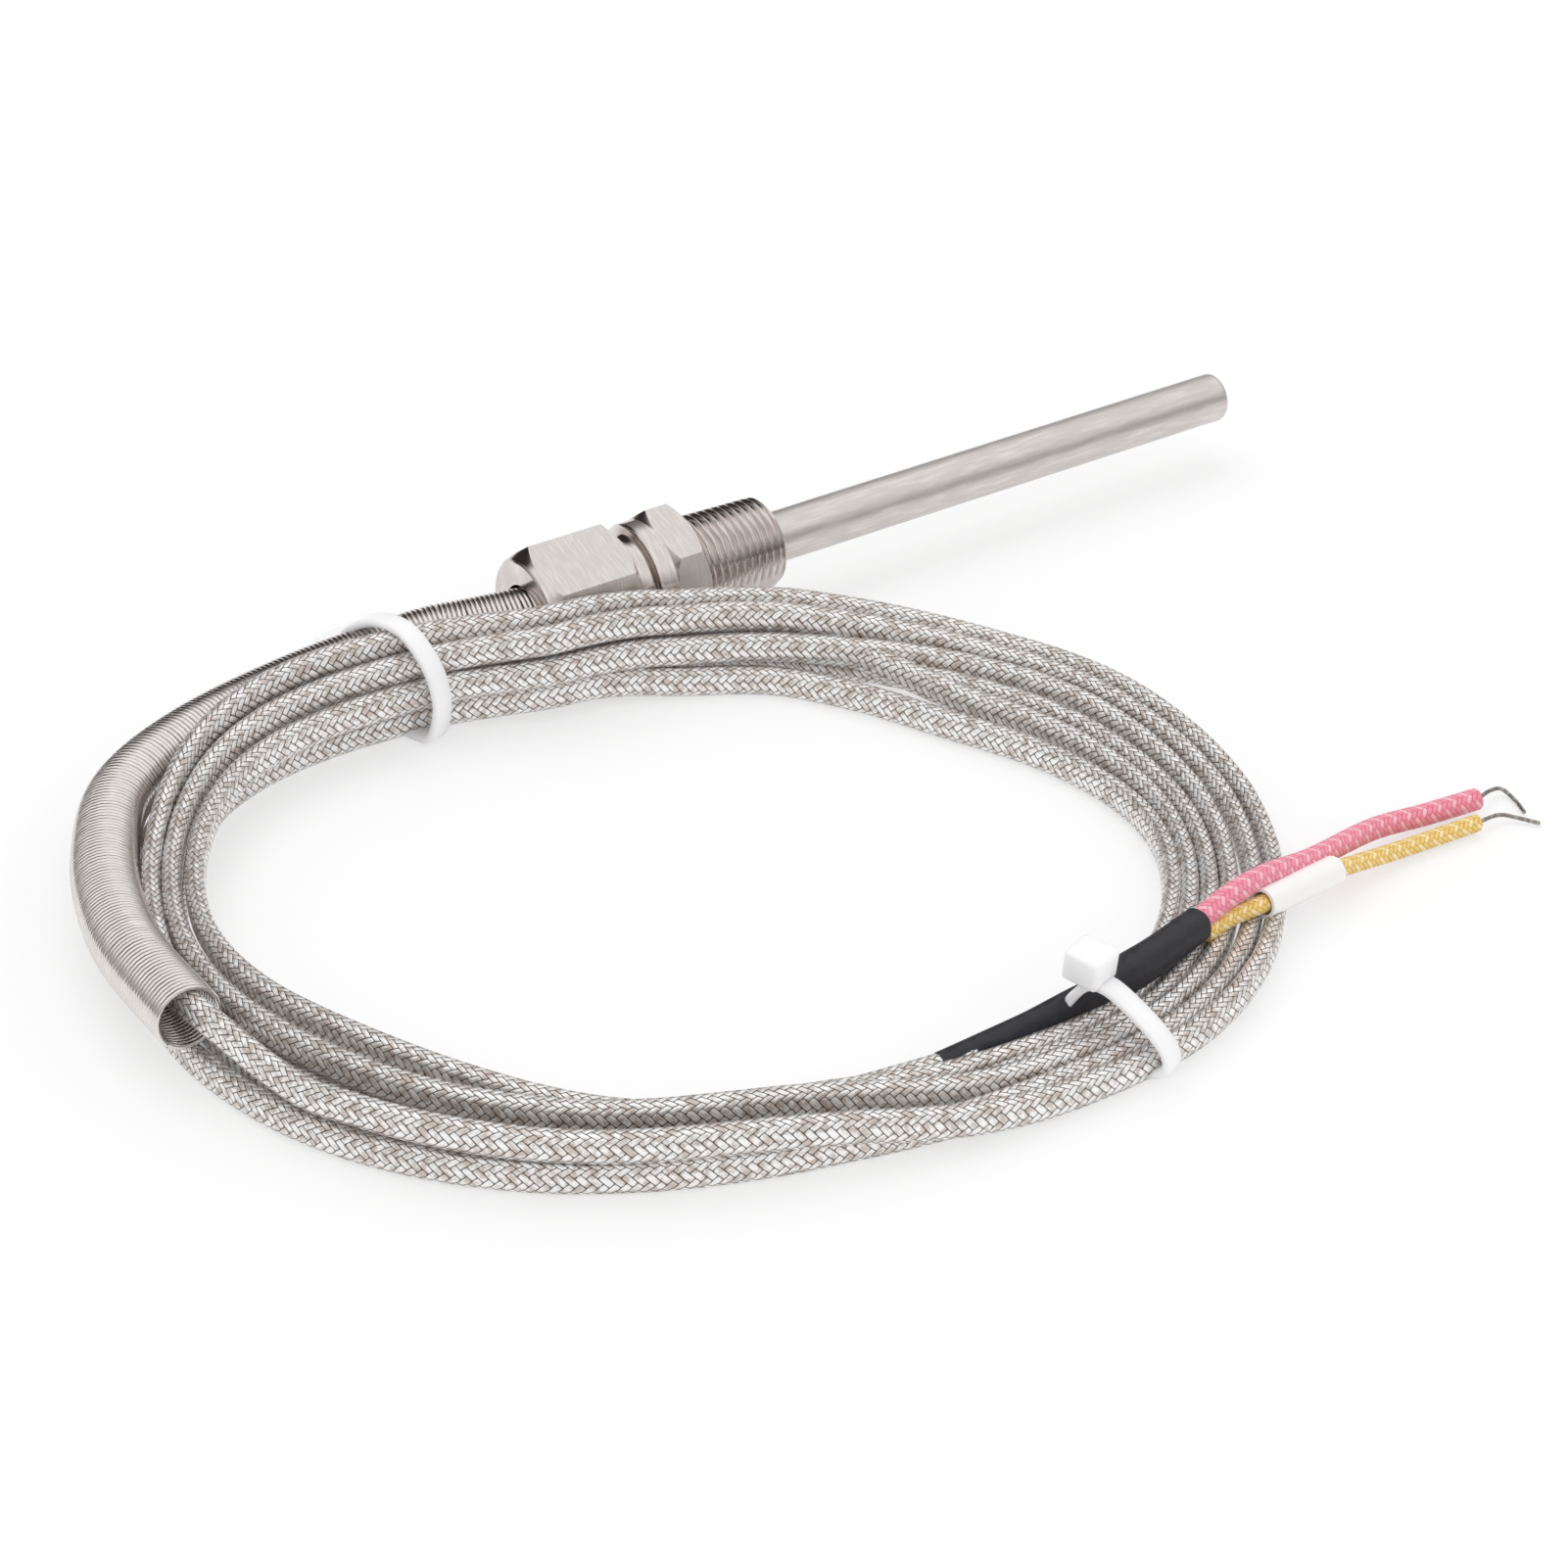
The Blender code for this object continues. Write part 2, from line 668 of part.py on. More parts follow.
def make_coil():
    """The outer shape of the tied coil, a closed loft between unlike sections."""
    work = bmesh.new()
    count = len(COIL_OUTLINE) * COIL_SECTIONS_PER_STEP
    rings = []
    for index in range(count):
        section = coil_section(index * 360.0 / count)
        rings.append([work.verts.new(point) for point in section])
    for index, ring in enumerate(rings):
        other = rings[(index + 1) % count]
        for corner in range(COIL_SECTION_POINTS):
            after = (corner + 1) % COIL_SECTION_POINTS
            work.faces.new((ring[corner], other[corner], other[after], ring[after]))
    bmesh.ops.recalc_face_normals(work, faces=work.faces)
    mesh = bpy.data.meshes.new("cable_coil")
    work.to_mesh(mesh)
    work.free()
    coil = add_object("cable_coil", mesh, PART, COIL)
    smooth(coil, 60.0)
    finish(coil, (0.58, 0.55, 0.52), 0.5, 1.0)


def make_heat_shrink():
    route = [Vector(point) for point in SHRINK_ROUTE]
    shrink = hollow_tube(
        "heat_shrink",
        route,
        SHRINK_RADIUS,
        route,
        SHRINK_BORE_RADIUS * SHRINK_SWELL[0],
        COIL,
        SHRINK_SWELL,
    )
    finish(shrink, (0.045, 0.045, 0.05), 0.5, 0.0)


def make_leads():
    for name, points, radius, color in (
        ("lead_red", RED_ROUTE, RED_RADIUS, (0.80, 0.28, 0.33)),
        ("lead_yellow", YELLOW_ROUTE, YELLOW_RADIUS, (0.85, 0.62, 0.22)),
    ):
        lead = tube(name, smooth_route(points, LONG_BEND_STEP), radius, PART, COIL)
        finish(lead, color, 0.8, 0.0)
    for name, points in (
        ("bare_wire_red", BARE_RED_ROUTE),
        ("bare_wire_yellow", BARE_YELLOW_ROUTE),
    ):
        route = smooth_route(points, SHORT_BEND_STEP)
        wire = tube(name, route, BARE_RADIUS, PART, COIL, resolution=1)
        finish(wire, (0.45, 0.42, 0.40), 0.4, 1.0)


def make_marker():
    route = [Vector(MARKER_FROM), Vector(MARKER_TO)]
    marker = hollow_tube(
        "marker_sleeve", route, MARKER_RADIUS, route, MARKER_BORE_RADIUS, COIL
    )
    finish(marker, (0.90, 0.90, 0.88), 0.45, 0.0)


def make_tie(name, angle, ring, head):
    """A strap round the bundle with its locking head, set across the cable at an angle."""
    mount = bpy.data.objects.new(name + "_place", None)
    PART.objects.link(mount)
    mount.parent = COIL
    mount.rotation_euler.z = math.radians(angle)
    work = bmesh.new()
    rows = []
    edges = (-TIE_WIDTH / 2.0 * MM, TIE_WIDTH / 2.0 * MM)
    for across, height in ring:
        rows.append([work.verts.new((across * MM, edge, height * MM)) for edge in edges])
    for index, row in enumerate(rows):
        other = rows[(index + 1) % len(rows)]
        work.faces.new((row[0], row[1], other[1], other[0]))
    mesh = bpy.data.meshes.new(name)
    work.to_mesh(mesh)
    work.free()
    tie = add_object(name, mesh, PART, mount)
    strap = tie.modifiers.new("strap", "SOLIDIFY")
    strap.thickness = TIE_THICKNESS * MM
    strap.offset = 1.0
    strap.use_even_offset = True
    block = bmesh.new()
    size = (TIE_HEAD_ACROSS * MM, TIE_HEAD_ALONG * MM, TIE_HEAD_HEIGHT * MM)
    bmesh.ops.create_cube(block, size=1.0, matrix=Matrix.Diagonal((*size, 1.0)))
    bmesh.ops.bevel(
        block,
        geom=list(block.edges),
        offset=TIE_HEAD_BEVEL * MM,
        segments=2,
        affect="EDGES",
        profile=0.5,
    )
    block_mesh = bpy.data.meshes.new(name + "_head")
    block.to_mesh(block_mesh)
    block.free()
    head_block = add_cutter(name + "_head", block_mesh, mount)
    head_block.location = (head[0] * MM, 0.0, head[1] * MM)
    head_block.rotation_euler.y = head[2]
    boolean(tie, head_block, "UNION")
    smooth(tie)
    finish(tie, (0.88, 0.89, 0.88), 0.4, 0.0)


clear_scene()
PART = make_collection("thermocouple_probe")
CUTTERS = make_collection("cutters")
PROBE = bpy.data.objects.new("probe_axis", None)
PART.objects.link(PROBE)
PROBE.location = (THREAD_END_X * MM, 0.0, AXIS_HEIGHT * MM)
PROBE.rotation_euler.y = math.pi / 2.0
COIL = bpy.data.objects.new("coil_place", None)
PART.objects.link(COIL)
COIL.location = (COIL_X * MM, COIL_Y * MM, 0.0)
COIL.rotation_euler.z = math.radians(COIL_TURN)

make_sheath()
make_threaded_body()
make_clamp_nut()
make_ferrule()
make_insulators()
make_junction_and_wires()
make_spring()
make_cable_lead()
make_coil()
make_heat_shrink()
make_leads()
make_marker()
make_tie("cable_tie_back", TIE_BACK_ANGLE, TIE_BACK_RING, (*TIE_BACK_HEAD, math.pi / 2.0))
make_tie("cable_tie_front", TIE_FRONT_ANGLE, TIE_FRONT_RING, (*TIE_FRONT_HEAD, 0.1))
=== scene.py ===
import math

import bmesh
import bpy
from mathutils import Matrix, Vector


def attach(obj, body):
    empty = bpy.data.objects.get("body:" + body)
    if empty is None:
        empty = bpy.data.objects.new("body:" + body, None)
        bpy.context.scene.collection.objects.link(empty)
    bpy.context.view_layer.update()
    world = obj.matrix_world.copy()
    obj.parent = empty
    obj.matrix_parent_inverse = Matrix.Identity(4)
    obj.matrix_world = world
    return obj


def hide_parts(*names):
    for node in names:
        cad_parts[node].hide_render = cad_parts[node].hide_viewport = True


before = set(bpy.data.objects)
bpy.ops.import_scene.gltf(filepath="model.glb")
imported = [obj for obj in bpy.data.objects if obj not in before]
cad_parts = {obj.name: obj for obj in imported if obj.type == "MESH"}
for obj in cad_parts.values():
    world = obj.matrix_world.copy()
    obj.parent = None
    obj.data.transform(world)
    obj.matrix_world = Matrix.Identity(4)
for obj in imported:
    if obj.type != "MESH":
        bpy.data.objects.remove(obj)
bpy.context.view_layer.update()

MM = 0.001
FULL_TURN = 2.0 * math.pi
UP = Vector((0.0, 0.0, 1.0))
CURVE_PARTS = 16

# The coil's own frame lies along the picture. It is turned and shifted into the row frame.
COIL_PLACE = Vector((-54.85, -48.9, 0.0))
COIL_TURN = math.radians(-33.8)
TO_ROW = Matrix.Rotation(COIL_TURN, 3, "Z")
TO_COIL = Matrix.Rotation(-COIL_TURN, 3, "Z")

# Where the camera stood, and the place on the bench that it looked at.
VIEW_ELEVATION = math.radians(32.5)
VIEW_DISTANCE = 393.0
VIEW_TARGET = (6.0, 21.0, 0.0)
FOCAL_SHARE = 3700.0 / 1601.0
SENSOR = 36.0
CLIP_NEAR = 0.01
CLIP_FAR = 10.0

# Rigid probe, as in the part: stations along its axis from the thread's free end, in millimetres.
SHEATH_TIP = 67.9
SHEATH_REAR = -26.8
THREAD_LENGTH = 11.4
THREAD_PITCH = 1.0
COLLAR_REAR = -18.0
COLLAR_FRONT = COLLAR_REAR + 2.15
NUT_FRONT = -20.2
NUT_REAR = -32.2
STUB_END = -24.2
HEX_FLAT_RADIUS = 7.0
HEX_RADIUS = HEX_FLAT_RADIUS / math.cos(math.pi / 6.0)
HEX_TURNED_RADIUS = HEX_RADIUS + 0.1
HEX_VERTEX_TILT = math.radians(10.0)
HEX_CHAMFER = 0.95
HEX_STEPS = 96
FLAT_TILT = 0.05
FLAT_GAP = 0.02
BAR_REACH = (40.0, -80.0)
AXIS_HEIGHT = HEX_RADIUS * math.cos(HEX_VERTEX_TILT)
THREAD_END_X = (SHEATH_TIP - NUT_REAR) / 2.0 - SHEATH_TIP
FITTING_EDGE = 0.1
NUT_EDGE = 0.12

# The sheath's closed tube.
SHEATH_RADIUS = 3.0
SHEATH_BORE = 2.5
SHEATH_END_WALL = 0.8
TIP_ROUNDING = 0.6
TIP_STEPS = 7
SHEATH_STEPS = 72

# The male thread: a slight taper, a groove with sloped flanks and a chamfered nose.
THREAD_NOSE_CREST = 5.4
THREAD_TAPER = 0.35
THREAD_GROOVE = 0.56
GROOVE_CREST_SHARE = 0.14
GROOVE_FLANK_SHARE = 0.74
THREAD_CHAMFER_RADIUS = 4.95
THREAD_STEPS = 90
THREAD_ROWS = 10

# The fitting and the nut as turned: (station, radius) from the front face back, then the bore.
BODY_BORE = 3.3
NECK_RADIUS = 5.4
STUB_RADIUS = 4.5
NUT_BORE = 3.85
NUT_SEAT = 4.8
SHEATH_HOLE = 2.3
FITTING_PROFILE = [
    (-THREAD_LENGTH, BODY_BORE),
    (-THREAD_LENGTH, HEX_FLAT_RADIUS),
    (-THREAD_LENGTH - HEX_CHAMFER, HEX_TURNED_RADIUS),
    (COLLAR_FRONT + 0.75, HEX_TURNED_RADIUS),
    (COLLAR_FRONT + 0.1, 7.1),
    (COLLAR_FRONT - 0.15, 7.0),
    (COLLAR_REAR + 0.45, 6.97),
    (COLLAR_REAR + 0.15, 6.85),
    (COLLAR_REAR, 6.55),
    (COLLAR_REAR, 5.85),
    (COLLAR_REAR - 0.15, 5.65),
    (COLLAR_REAR - 0.6, 5.45),
    (COLLAR_REAR - 1.2, NECK_RADIUS),
    (NUT_FRONT + 0.3, 5.6),
    (NUT_FRONT + 0.3, STUB_RADIUS),
    (STUB_END + 0.4, STUB_RADIUS),
    (STUB_END, 4.1),
    (STUB_END, BODY_BORE),
]
NUT_PROFILE = [
    (NUT_FRONT, NUT_SEAT),
    (NUT_FRONT, HEX_FLAT_RADIUS),
    (NUT_FRONT - HEX_CHAMFER, HEX_TURNED_RADIUS),
    (NUT_REAR + 1.75, HEX_TURNED_RADIUS),
    (NUT_REAR + 0.75, 7.05),
    (NUT_REAR + 0.2, 6.75),
    (NUT_REAR, 6.45),
    (NUT_REAR, NUT_BORE),
    (NUT_REAR + 4.0, NUT_BORE),
    (NUT_REAR + 4.0, SHEATH_HOLE),
    (NUT_REAR + 5.0, SHEATH_HOLE),
    (NUT_REAR + 5.0, NUT_SEAT),
]

# The spring and the cable, in the coil's own frame.
SPRING_ROUTE = [
    (-29.0, 40.8, 7.95),
    (-35.0, 38.3, 7.8),
    (-46.9, 30.7, 7.0),
    (-57.6, 20.8, 6.2),
    (-63.5, 10.2, 5.7),
    (-63.5, -1.5, 5.6),
    (-61.1, -11.9, 5.9),
    (-57.2, -21.2, 6.5),
    (-50.6, -31.7, 7.1),
]
SPRING_SEAT = 3.7
SPRING_PITCH = 0.56
SPRING_WIRE_RADIUS = 0.265
SPRING_COIL_RADIUS = 3.27
SPRING_WIRE_SIDES = 8
STEPS_PER_TURN = 22
# The cable leaves the spring high and on its inner side.
CABLE_MOUTH = (-50.2, -31.2, 8.05)
CABLE_START = SHEATH_REAR - 0.3
CABLE_THICKNESS = 2.1
CABLE_HEIGHT = 3.5
CABLE_SIDES = 16
CABLE_SQUARENESS = 2.6
ROUND = 2.0

# How far the outermost strand reaches from the coil's middle, every fifteen degrees.
REACH_STEP = 15.0
REACH = [
    57.8, 57.9, 56.2, 53.7, 50.5, 47.5, 46.0, 44.0, 42.6, 47.6, 53.4, 58.5,
    60.1, 60.0, 60.0, 58.3, 55.2, 51.9, 48.9, 47.6, 48.9, 51.0, 54.4, 56.8,
]
# How each pass of the cable lies at each station: depth inside the reach and height of its lower edge.
STATIONS = (225.0, 270.0, 315.0, 360.0, 405.0, 450.0, 478.0, 510.0, 550.0)
PASSES = [
    [
        (1.7, 3.8), (1.1, 3.4), (1.1, 0.0), (1.1, 0.0), (1.05, 3.6),
        (1.1, 7.4), (1.1, 10.0), (0.2, 9.2), (1.8, 3.5),
    ],
    [
        (3.7, 0.0), (3.0, 0.0), (6.8, 0.0), (8.0, 0.0), (8.6, 1.8),
        (1.4, 0.2), (1.1, 2.9), (-2.4, 0.0), (-0.4, 0.0),
    ],
    [
        (1.1, 0.0), (1.2, 0.0), (2.9, 0.2), (3.4, 0.0), (3.4, 3.4),
        (3.2, 6.7), (3.2, 8.7), (2.5, 6.9), (3.8, 3.5),
    ],
    [
        (7.0, 3.5), (5.5, 3.5), (4.9, 0.8), (5.9, 0.0), (5.9, 3.0),
        (4.9, 3.6), (3.2, 4.7), (4.7, 4.4), (6.2, 3.5),
    ],
    [
        (11.5, 3.2), (8.8, 0.5), (8.6, 0.3), (10.0, 0.0), (11.0, 1.5),
        (1.1, 3.8), (1.1, 6.4), (-0.3, 0.0), (1.9, 0.0),
    ],
    [
        (6.0, 0.0), (5.1, 0.0), (10.6, 0.0), (11.8, 0.0), (13.9, 0.0),
        (5.9, 0.0), (2.6, 1.4), (1.8, 0.0), (4.2, 0.0),
    ],
    [(8.8, 0.0), (7.0, 0.0)],
]
LAST_ANGLE = STATIONS[0] + 360.0 * 6 + 45.0
COIL_STEP = 7.5

# The shrink sleeve: flat over the cable, a step up over the joint, then narrowing towards the leads.
SHRINK_ROUTE = [
    (20.9, -32.9, 2.0),
    (25.3, -30.2, 2.4),
    (29.6, -27.9, 3.1),
    (33.6, -25.5, 3.9),
    (36.6, -23.7, 4.4),
    (39.6, -21.1, 4.8),
    (42.7, -18.2, 5.0),
    (47.3, -13.1, 5.2),
]
SHRINK_WIDTH = 2.5
SHRINK_HEIGHT = 3.7
SWELL_FROM = 0.615
SWELL_SHARE = 0.02
SWELL_WIDTH = 1.2
SWELL_HEIGHT = 0.6
TAPER_FROM = 0.62
TAPER_WIDTH = 0.4
TAPER_HEIGHT = 0.8
SHRINK_WALL = 0.3
SHRINK_SIDES = 24
SHRINK_SQUARENESS = 2.3

# The two leads, their bare ends and the marker tube on the yellow one.
RED_ROUTE = [
    (47.2, -13.3, 5.7),
    (51.1, -9.3, 6.3),
    (54.9, -5.3, 5.8),
    (60.3, 0.2, 4.1),
    (67.8, 8.6, 2.2),
    (74.0, 12.4, 1.6),
    (80.1, 15.8, 1.4),
]
MARKER_FROM = (54.3, -8.4, 4.4)
MARKER_TO = (62.6, -0.6, 3.2)
YELLOW_ROUTE = [
    (48.0, -13.3, 4.2),
    (51.1, -10.6, 4.4),
    MARKER_FROM,
    (58.4, -4.5, 3.8),
    MARKER_TO,
    (70.5, 6.0, 1.4),
    (79.5, 11.6, 1.1),
]
BARE_RED_ROUTE = [
    (80.5, 16.1, 1.4),
    (82.0, 18.1, 1.0),
    (83.4, 18.9, 0.7),
    (84.6, 17.0, 0.4),
    (85.2, 14.9, 0.3),
]
BARE_YELLOW_ROUTE = [
    (79.9, 11.85, 1.1),
    (82.2, 13.6, 0.8),
    (84.2, 13.5, 0.5),
    (86.5, 12.7, 0.3),
]
RED_RADIUS = 1.2
YELLOW_RADIUS = 0.95
BARE_RADIUS = 0.225
LEAD_SIDES = 20
MARKER_DIAMETER = 3.2
MARKER_WALL = 0.35
MARKER_SIDES = 32

# Spacing of the sections along each route, in millimetres.
CABLE_SPACING = 1.0
SPRING_SPACING = 1.5
SHRINK_SPACING = 0.8
LEAD_SPACING = 0.5
MARKER_SPACING = 1.0

# The ties, as rings of (distance from the coil's middle, height) at an angle round the coil.
TIE_WIDTH = 2.45
TIE_THICKNESS = 0.95
TIE_CORNER = 0.22
TIE_HEAD = (4.1, 4.1, 3.4)
TIE_HEAD_ROUNDING = 0.55
TIE_PARTS = 8
BACK_ANGLE = 138.5
BACK_RING = [
    (42.2, 3.6), (43.5, 1.3), (46.5, 0.75), (50.5, 0.95), (54.0, 2.4), (56.4, 4.6), (57.1, 7.4),
    (56.1, 9.9), (53.6, 11.9), (50.4, 13.3), (47.2, 13.4), (44.7, 12.0), (42.7, 9.6), (41.8, 6.6),
]
BACK_HEAD = (58.6, 6.2)
BACK_HEAD_TURN = math.pi / 2.0
FRONT_ANGLE = 323.0
FRONT_RING = [
    (42.4, 3.0), (43.3, 1.1), (47.0, 0.7), (51.9, 0.8), (53.8, 2.0), (53.6, 3.7), (51.9, 5.4),
    (48.8, 7.3), (46.6, 8.2), (44.8, 8.0), (43.3, 6.4), (42.5, 4.8),
]
FRONT_HEAD = (44.3, 10.0)
FRONT_HEAD_TURN = 0.1

# Node kinds used again and again, and the sockets of a colour mix.
MATH = "ShaderNodeMath"
VECTOR_MATH = "ShaderNodeVectorMath"
MIX = "ShaderNodeMix"
COLOR_A = 6
COLOR_B = 7
COLOR_RESULT = 2

# Braids: millimetres along the strand for one turn of a ribbon, and ribbons of each hand.
STEEL_LAY = 12.5
STEEL_RIBBONS = 12
GLASS_LAY = 6.0
GLASS_RIBBONS = 9
WEAVE_REPEAT = 4.0
WEAVE_OVER = 2.0
WIRES_PER_RIBBON = 3.0
WIRE_RELIEF = 0.09
DOME_POWER = 0.6
ARCH_POWER = 0.5
LOWEST_ARCH = 0.001
TRACER_EVERY = 3.0
STEEL_RELIEF = 0.09
GLASS_RELIEF = 0.12
PATCHES_PER_MM = 1.1

# The pale streaks of a metal's tool marks: where they start and end in the marks' range, and their colour.
STREAK_FROM = 0.45
STREAK_TO = 0.95
STREAK_COLOR = "#F0ECE8"

# The studio. The room's values are linear light. The flag is a dark card behind the object, at its left.
BENCH_SIZE = 6.0
BENCH_DROP = 0.0001
BENCH_WHITE = "#F7F7F7"
BENCH_GLOW_SHARE = 0.6
ROOM_STOPS = (
    (0.05, (0.16, 0.15, 0.145, 1.0)),
    (0.32, (0.60, 0.59, 0.58, 1.0)),
    (0.62, (1.05, 1.05, 1.05, 1.0)),
)
ROOM_LIGHT = (0.85, 0.85, 0.85, 1.0)
FLAG_TOWARD = (-0.62, 0.69, 0.375)
FLAG_EDGE = (0.76, 0.92)
FLAG_DARK = (0.03, 0.024, 0.022, 1.0)
LAMPS = (
    ("top_softbox", (-0.25, 0.35, 0.90), 0.7, 2.4),
    ("front_softbox", (0.40, -0.60, 0.60), 0.6, 1.0),
)


def turned(point, turn):
    """A point or a direction turned about the middle of its frame."""
    place = Vector(point)
    place.rotate(turn)
    return place


def on_bench(point):
    """A point of the coil's frame, in millimetres, as a place in the row frame in metres."""
    return (turned(point, TO_ROW) + COIL_PLACE) * MM


def on_axis(station):
    """A point of the probe's axis in the coil's frame, in millimetres."""
    return turned(Vector((THREAD_END_X + station, 0.0, AXIS_HEIGHT)) - COIL_PLACE, TO_COIL)


def catmull(before, start, end, after, share):
    """A place on the smooth curve from start to end, for numbers or vectors."""
    square = share * share
    cube = square * share
    return 0.5 * (
        2.0 * start
        + (end - before) * share
        + (2.0 * before - 5.0 * start + 4.0 * end - after) * square
        + (3.0 * start - before - 3.0 * end + after) * cube
    )


def even_steps(fine, spacing):
    """Points at even steps along a fine line, as near the spacing as its length allows."""
    lengths = [0.0]
    for first, second in zip(fine, fine[1:]):
        lengths.append(lengths[-1] + (second - first).length)
    count = max(2, round(lengths[-1] / spacing))
    route = []
    segment = 0
    for index in range(count + 1):
        target = lengths[-1] * index / count
        while segment < len(fine) - 2 and lengths[segment + 1] < target:
            segment += 1
        share = (target - lengths[segment]) / (lengths[segment + 1] - lengths[segment])
        route.append(fine[segment].lerp(fine[segment + 1], min(share, 1.0)))
    return route


def bench_route(points, spacing):
    """A smooth route through the points of the coil's frame, in even steps, in the row frame."""
    knots = [Vector(point) for point in points]
    knots = [2.0 * knots[0] - knots[1]] + knots + [2.0 * knots[-1] - knots[-2]]
    fine = []
    for index in range(1, len(knots) - 2):
        for part in range(CURVE_PARTS):
            fine.append(catmull(*knots[index - 1:index + 3], part / CURVE_PARTS))
    fine.append(knots[-2])
    return [on_bench(point) for point in even_steps(fine, spacing)]


def route_length(route):
    """Length of a route, in its own unit."""
    return sum((second - first).length for first, second in zip(route, route[1:]))


def reach_at(angle):
    """How far the outermost strand lies from the coil's middle at an angle."""
    place = angle / REACH_STEP
    index = int(place)
    count = len(REACH)
    return catmull(*[REACH[(index + step) % count] for step in (-1, 0, 1, 2)], place - index)


def lie_at(angle):
    """Depth and lower edge of the cable at an angle counted on from the spring's mouth."""
    turn = min(int((angle - STATIONS[0]) / 360.0), len(PASSES) - 1)
    local = angle - 360.0 * turn
    row = PASSES[turn]
    stations = list(STATIONS[:len(row)])
    if turn + 1 < len(PASSES):
        row = row + [PASSES[turn + 1][0]]
        stations.append(STATIONS[0] + 360.0)
    index = 0
    while index < len(stations) - 2 and local > stations[index + 1]:
        index += 1
    share = (local - stations[index]) / (stations[index + 1] - stations[index])
    share = min(max(share, 0.0), 1.0)
    share = share * share * (3.0 - 2.0 * share)
    return [row[index][k] + (row[index + 1][k] - row[index][k]) * share for k in (0, 1)]


def coil_points():
    """The cable's route round the coil, as points of the coil's frame."""
    points = []
    count = int((LAST_ANGLE - STATIONS[0]) / COIL_STEP)
    for index in range(count + 1):
        angle = STATIONS[0] + index * COIL_STEP
        depth, lower = lie_at(angle)
        reach = reach_at(angle) - depth
        turn = math.radians(angle)
        points.append((reach * math.cos(turn), reach * math.sin(turn), lower + CABLE_HEIGHT / 2.0))
    return points


def linear(hex_color):
    """An sRGB hex colour as linear red, green, blue and alpha."""
    values = []
    for start in (1, 3, 5):
        part = int(hex_color[start:start + 2], 16) / 255.0
        values.append(part / 12.92 if part <= 0.04045 else ((part + 0.055) / 1.055) ** 2.4)
    return (*values, 1.0)


def feed(tree, made, inputs):
    """Give a node's inputs values, or link them to sockets or to other nodes' first outputs."""
    for name, value in inputs.items():
        if isinstance(value, bpy.types.Node):
            value = value.outputs[0]
        if isinstance(value, bpy.types.NodeSocket):
            tree.links.new(value, made.inputs[name])
        else:
            made.inputs[name].default_value = value


def node(tree, kind, inputs=None, stops=(), **settings):
    """Add a node with its settings and links; stops are (place, linear colour) on a colour ramp."""
    made = tree.nodes.new(kind)
    for name, value in settings.items():
        setattr(made, name, value)
    feed(tree, made, inputs or {})
    if stops:
        elements = made.color_ramp.elements
        for place, color in stops[1:-1]:
            elements.new(place)
        for element, (place, color) in zip(elements, stops):
            element.position = place
            element.color = color
    return made


def new_material(name):
    """A material with its tree and its shader."""
    material = bpy.data.materials.new(name)
    material.use_nodes = True
    tree = material.node_tree
    return material, tree, tree.nodes["Principled BSDF"]


def tool_marks(tree, shader, marks_per_mm, depth, detail):
    """Marks cut or moulded into the skin: so many to the millimetre along each axis, so deep."""
    place = node(tree, "ShaderNodeTexCoord")
    scale = Vector(marks_per_mm) / MM
    scaled = node(tree, "ShaderNodeMapping", {"Vector": place.outputs["Object"], "Scale": scale})
    marks = node(tree, "ShaderNodeTexNoise", {"Vector": scaled, "Scale": 1.0, "Detail": detail})
    bump = node(
        tree,
        "ShaderNodeBump",
        {"Height": marks.outputs["Fac"], "Strength": 1.0, "Distance": depth * MM},
    )
    feed(tree, shader, {"Normal": bump})
    return marks.outputs["Fac"]


def metal(name, color, roughness, marks_per_mm, mark_depth):
    """A metal whose fine tool marks break up the gloss and lie paler in streaks."""
    material, tree, shader = new_material(name)
    marks = tool_marks(tree, shader, marks_per_mm, mark_depth, 3.0)
    stops = ((STREAK_FROM, linear(color)), (STREAK_TO, linear(STREAK_COLOR)))
    streaks = node(tree, "ShaderNodeValToRGB", {"Fac": marks}, stops)
    feed(tree, shader, {"Base Color": streaks, "Metallic": 1.0, "Roughness": roughness})
    return material


def plastic(name, color, roughness, marks_per_mm, mark_depth, subsurface=0.0):
    """Moulded or drawn plastic: one colour with a faintly uneven skin."""
    material, tree, shader = new_material(name)
    tool_marks(tree, shader, (marks_per_mm,) * 3, mark_depth, 2.0)
    feed(tree, shader, {"Base Color": linear(color), "Roughness": roughness})
    if subsurface:
        glow = {"Subsurface Weight": subsurface, "Subsurface Radius": (1.0, 1.0, 1.0)}
        feed(tree, shader, {**glow, "Subsurface Scale": 1.0 * MM})
    return material


def ribbon_run(tree, other, own_number, shift):
    """How far a ribbon has gone in its two-over, two-under run, counted in the ribbons it crosses."""
    crossed = node(tree, MATH, {0: other, 1: own_number}, operation="SUBTRACT")
    shifted = node(tree, MATH, {0: crossed, 1: shift}, operation="ADD")
    return node(tree, MATH, {0: shifted, 1: WEAVE_REPEAT}, operation="FLOORED_MODULO")


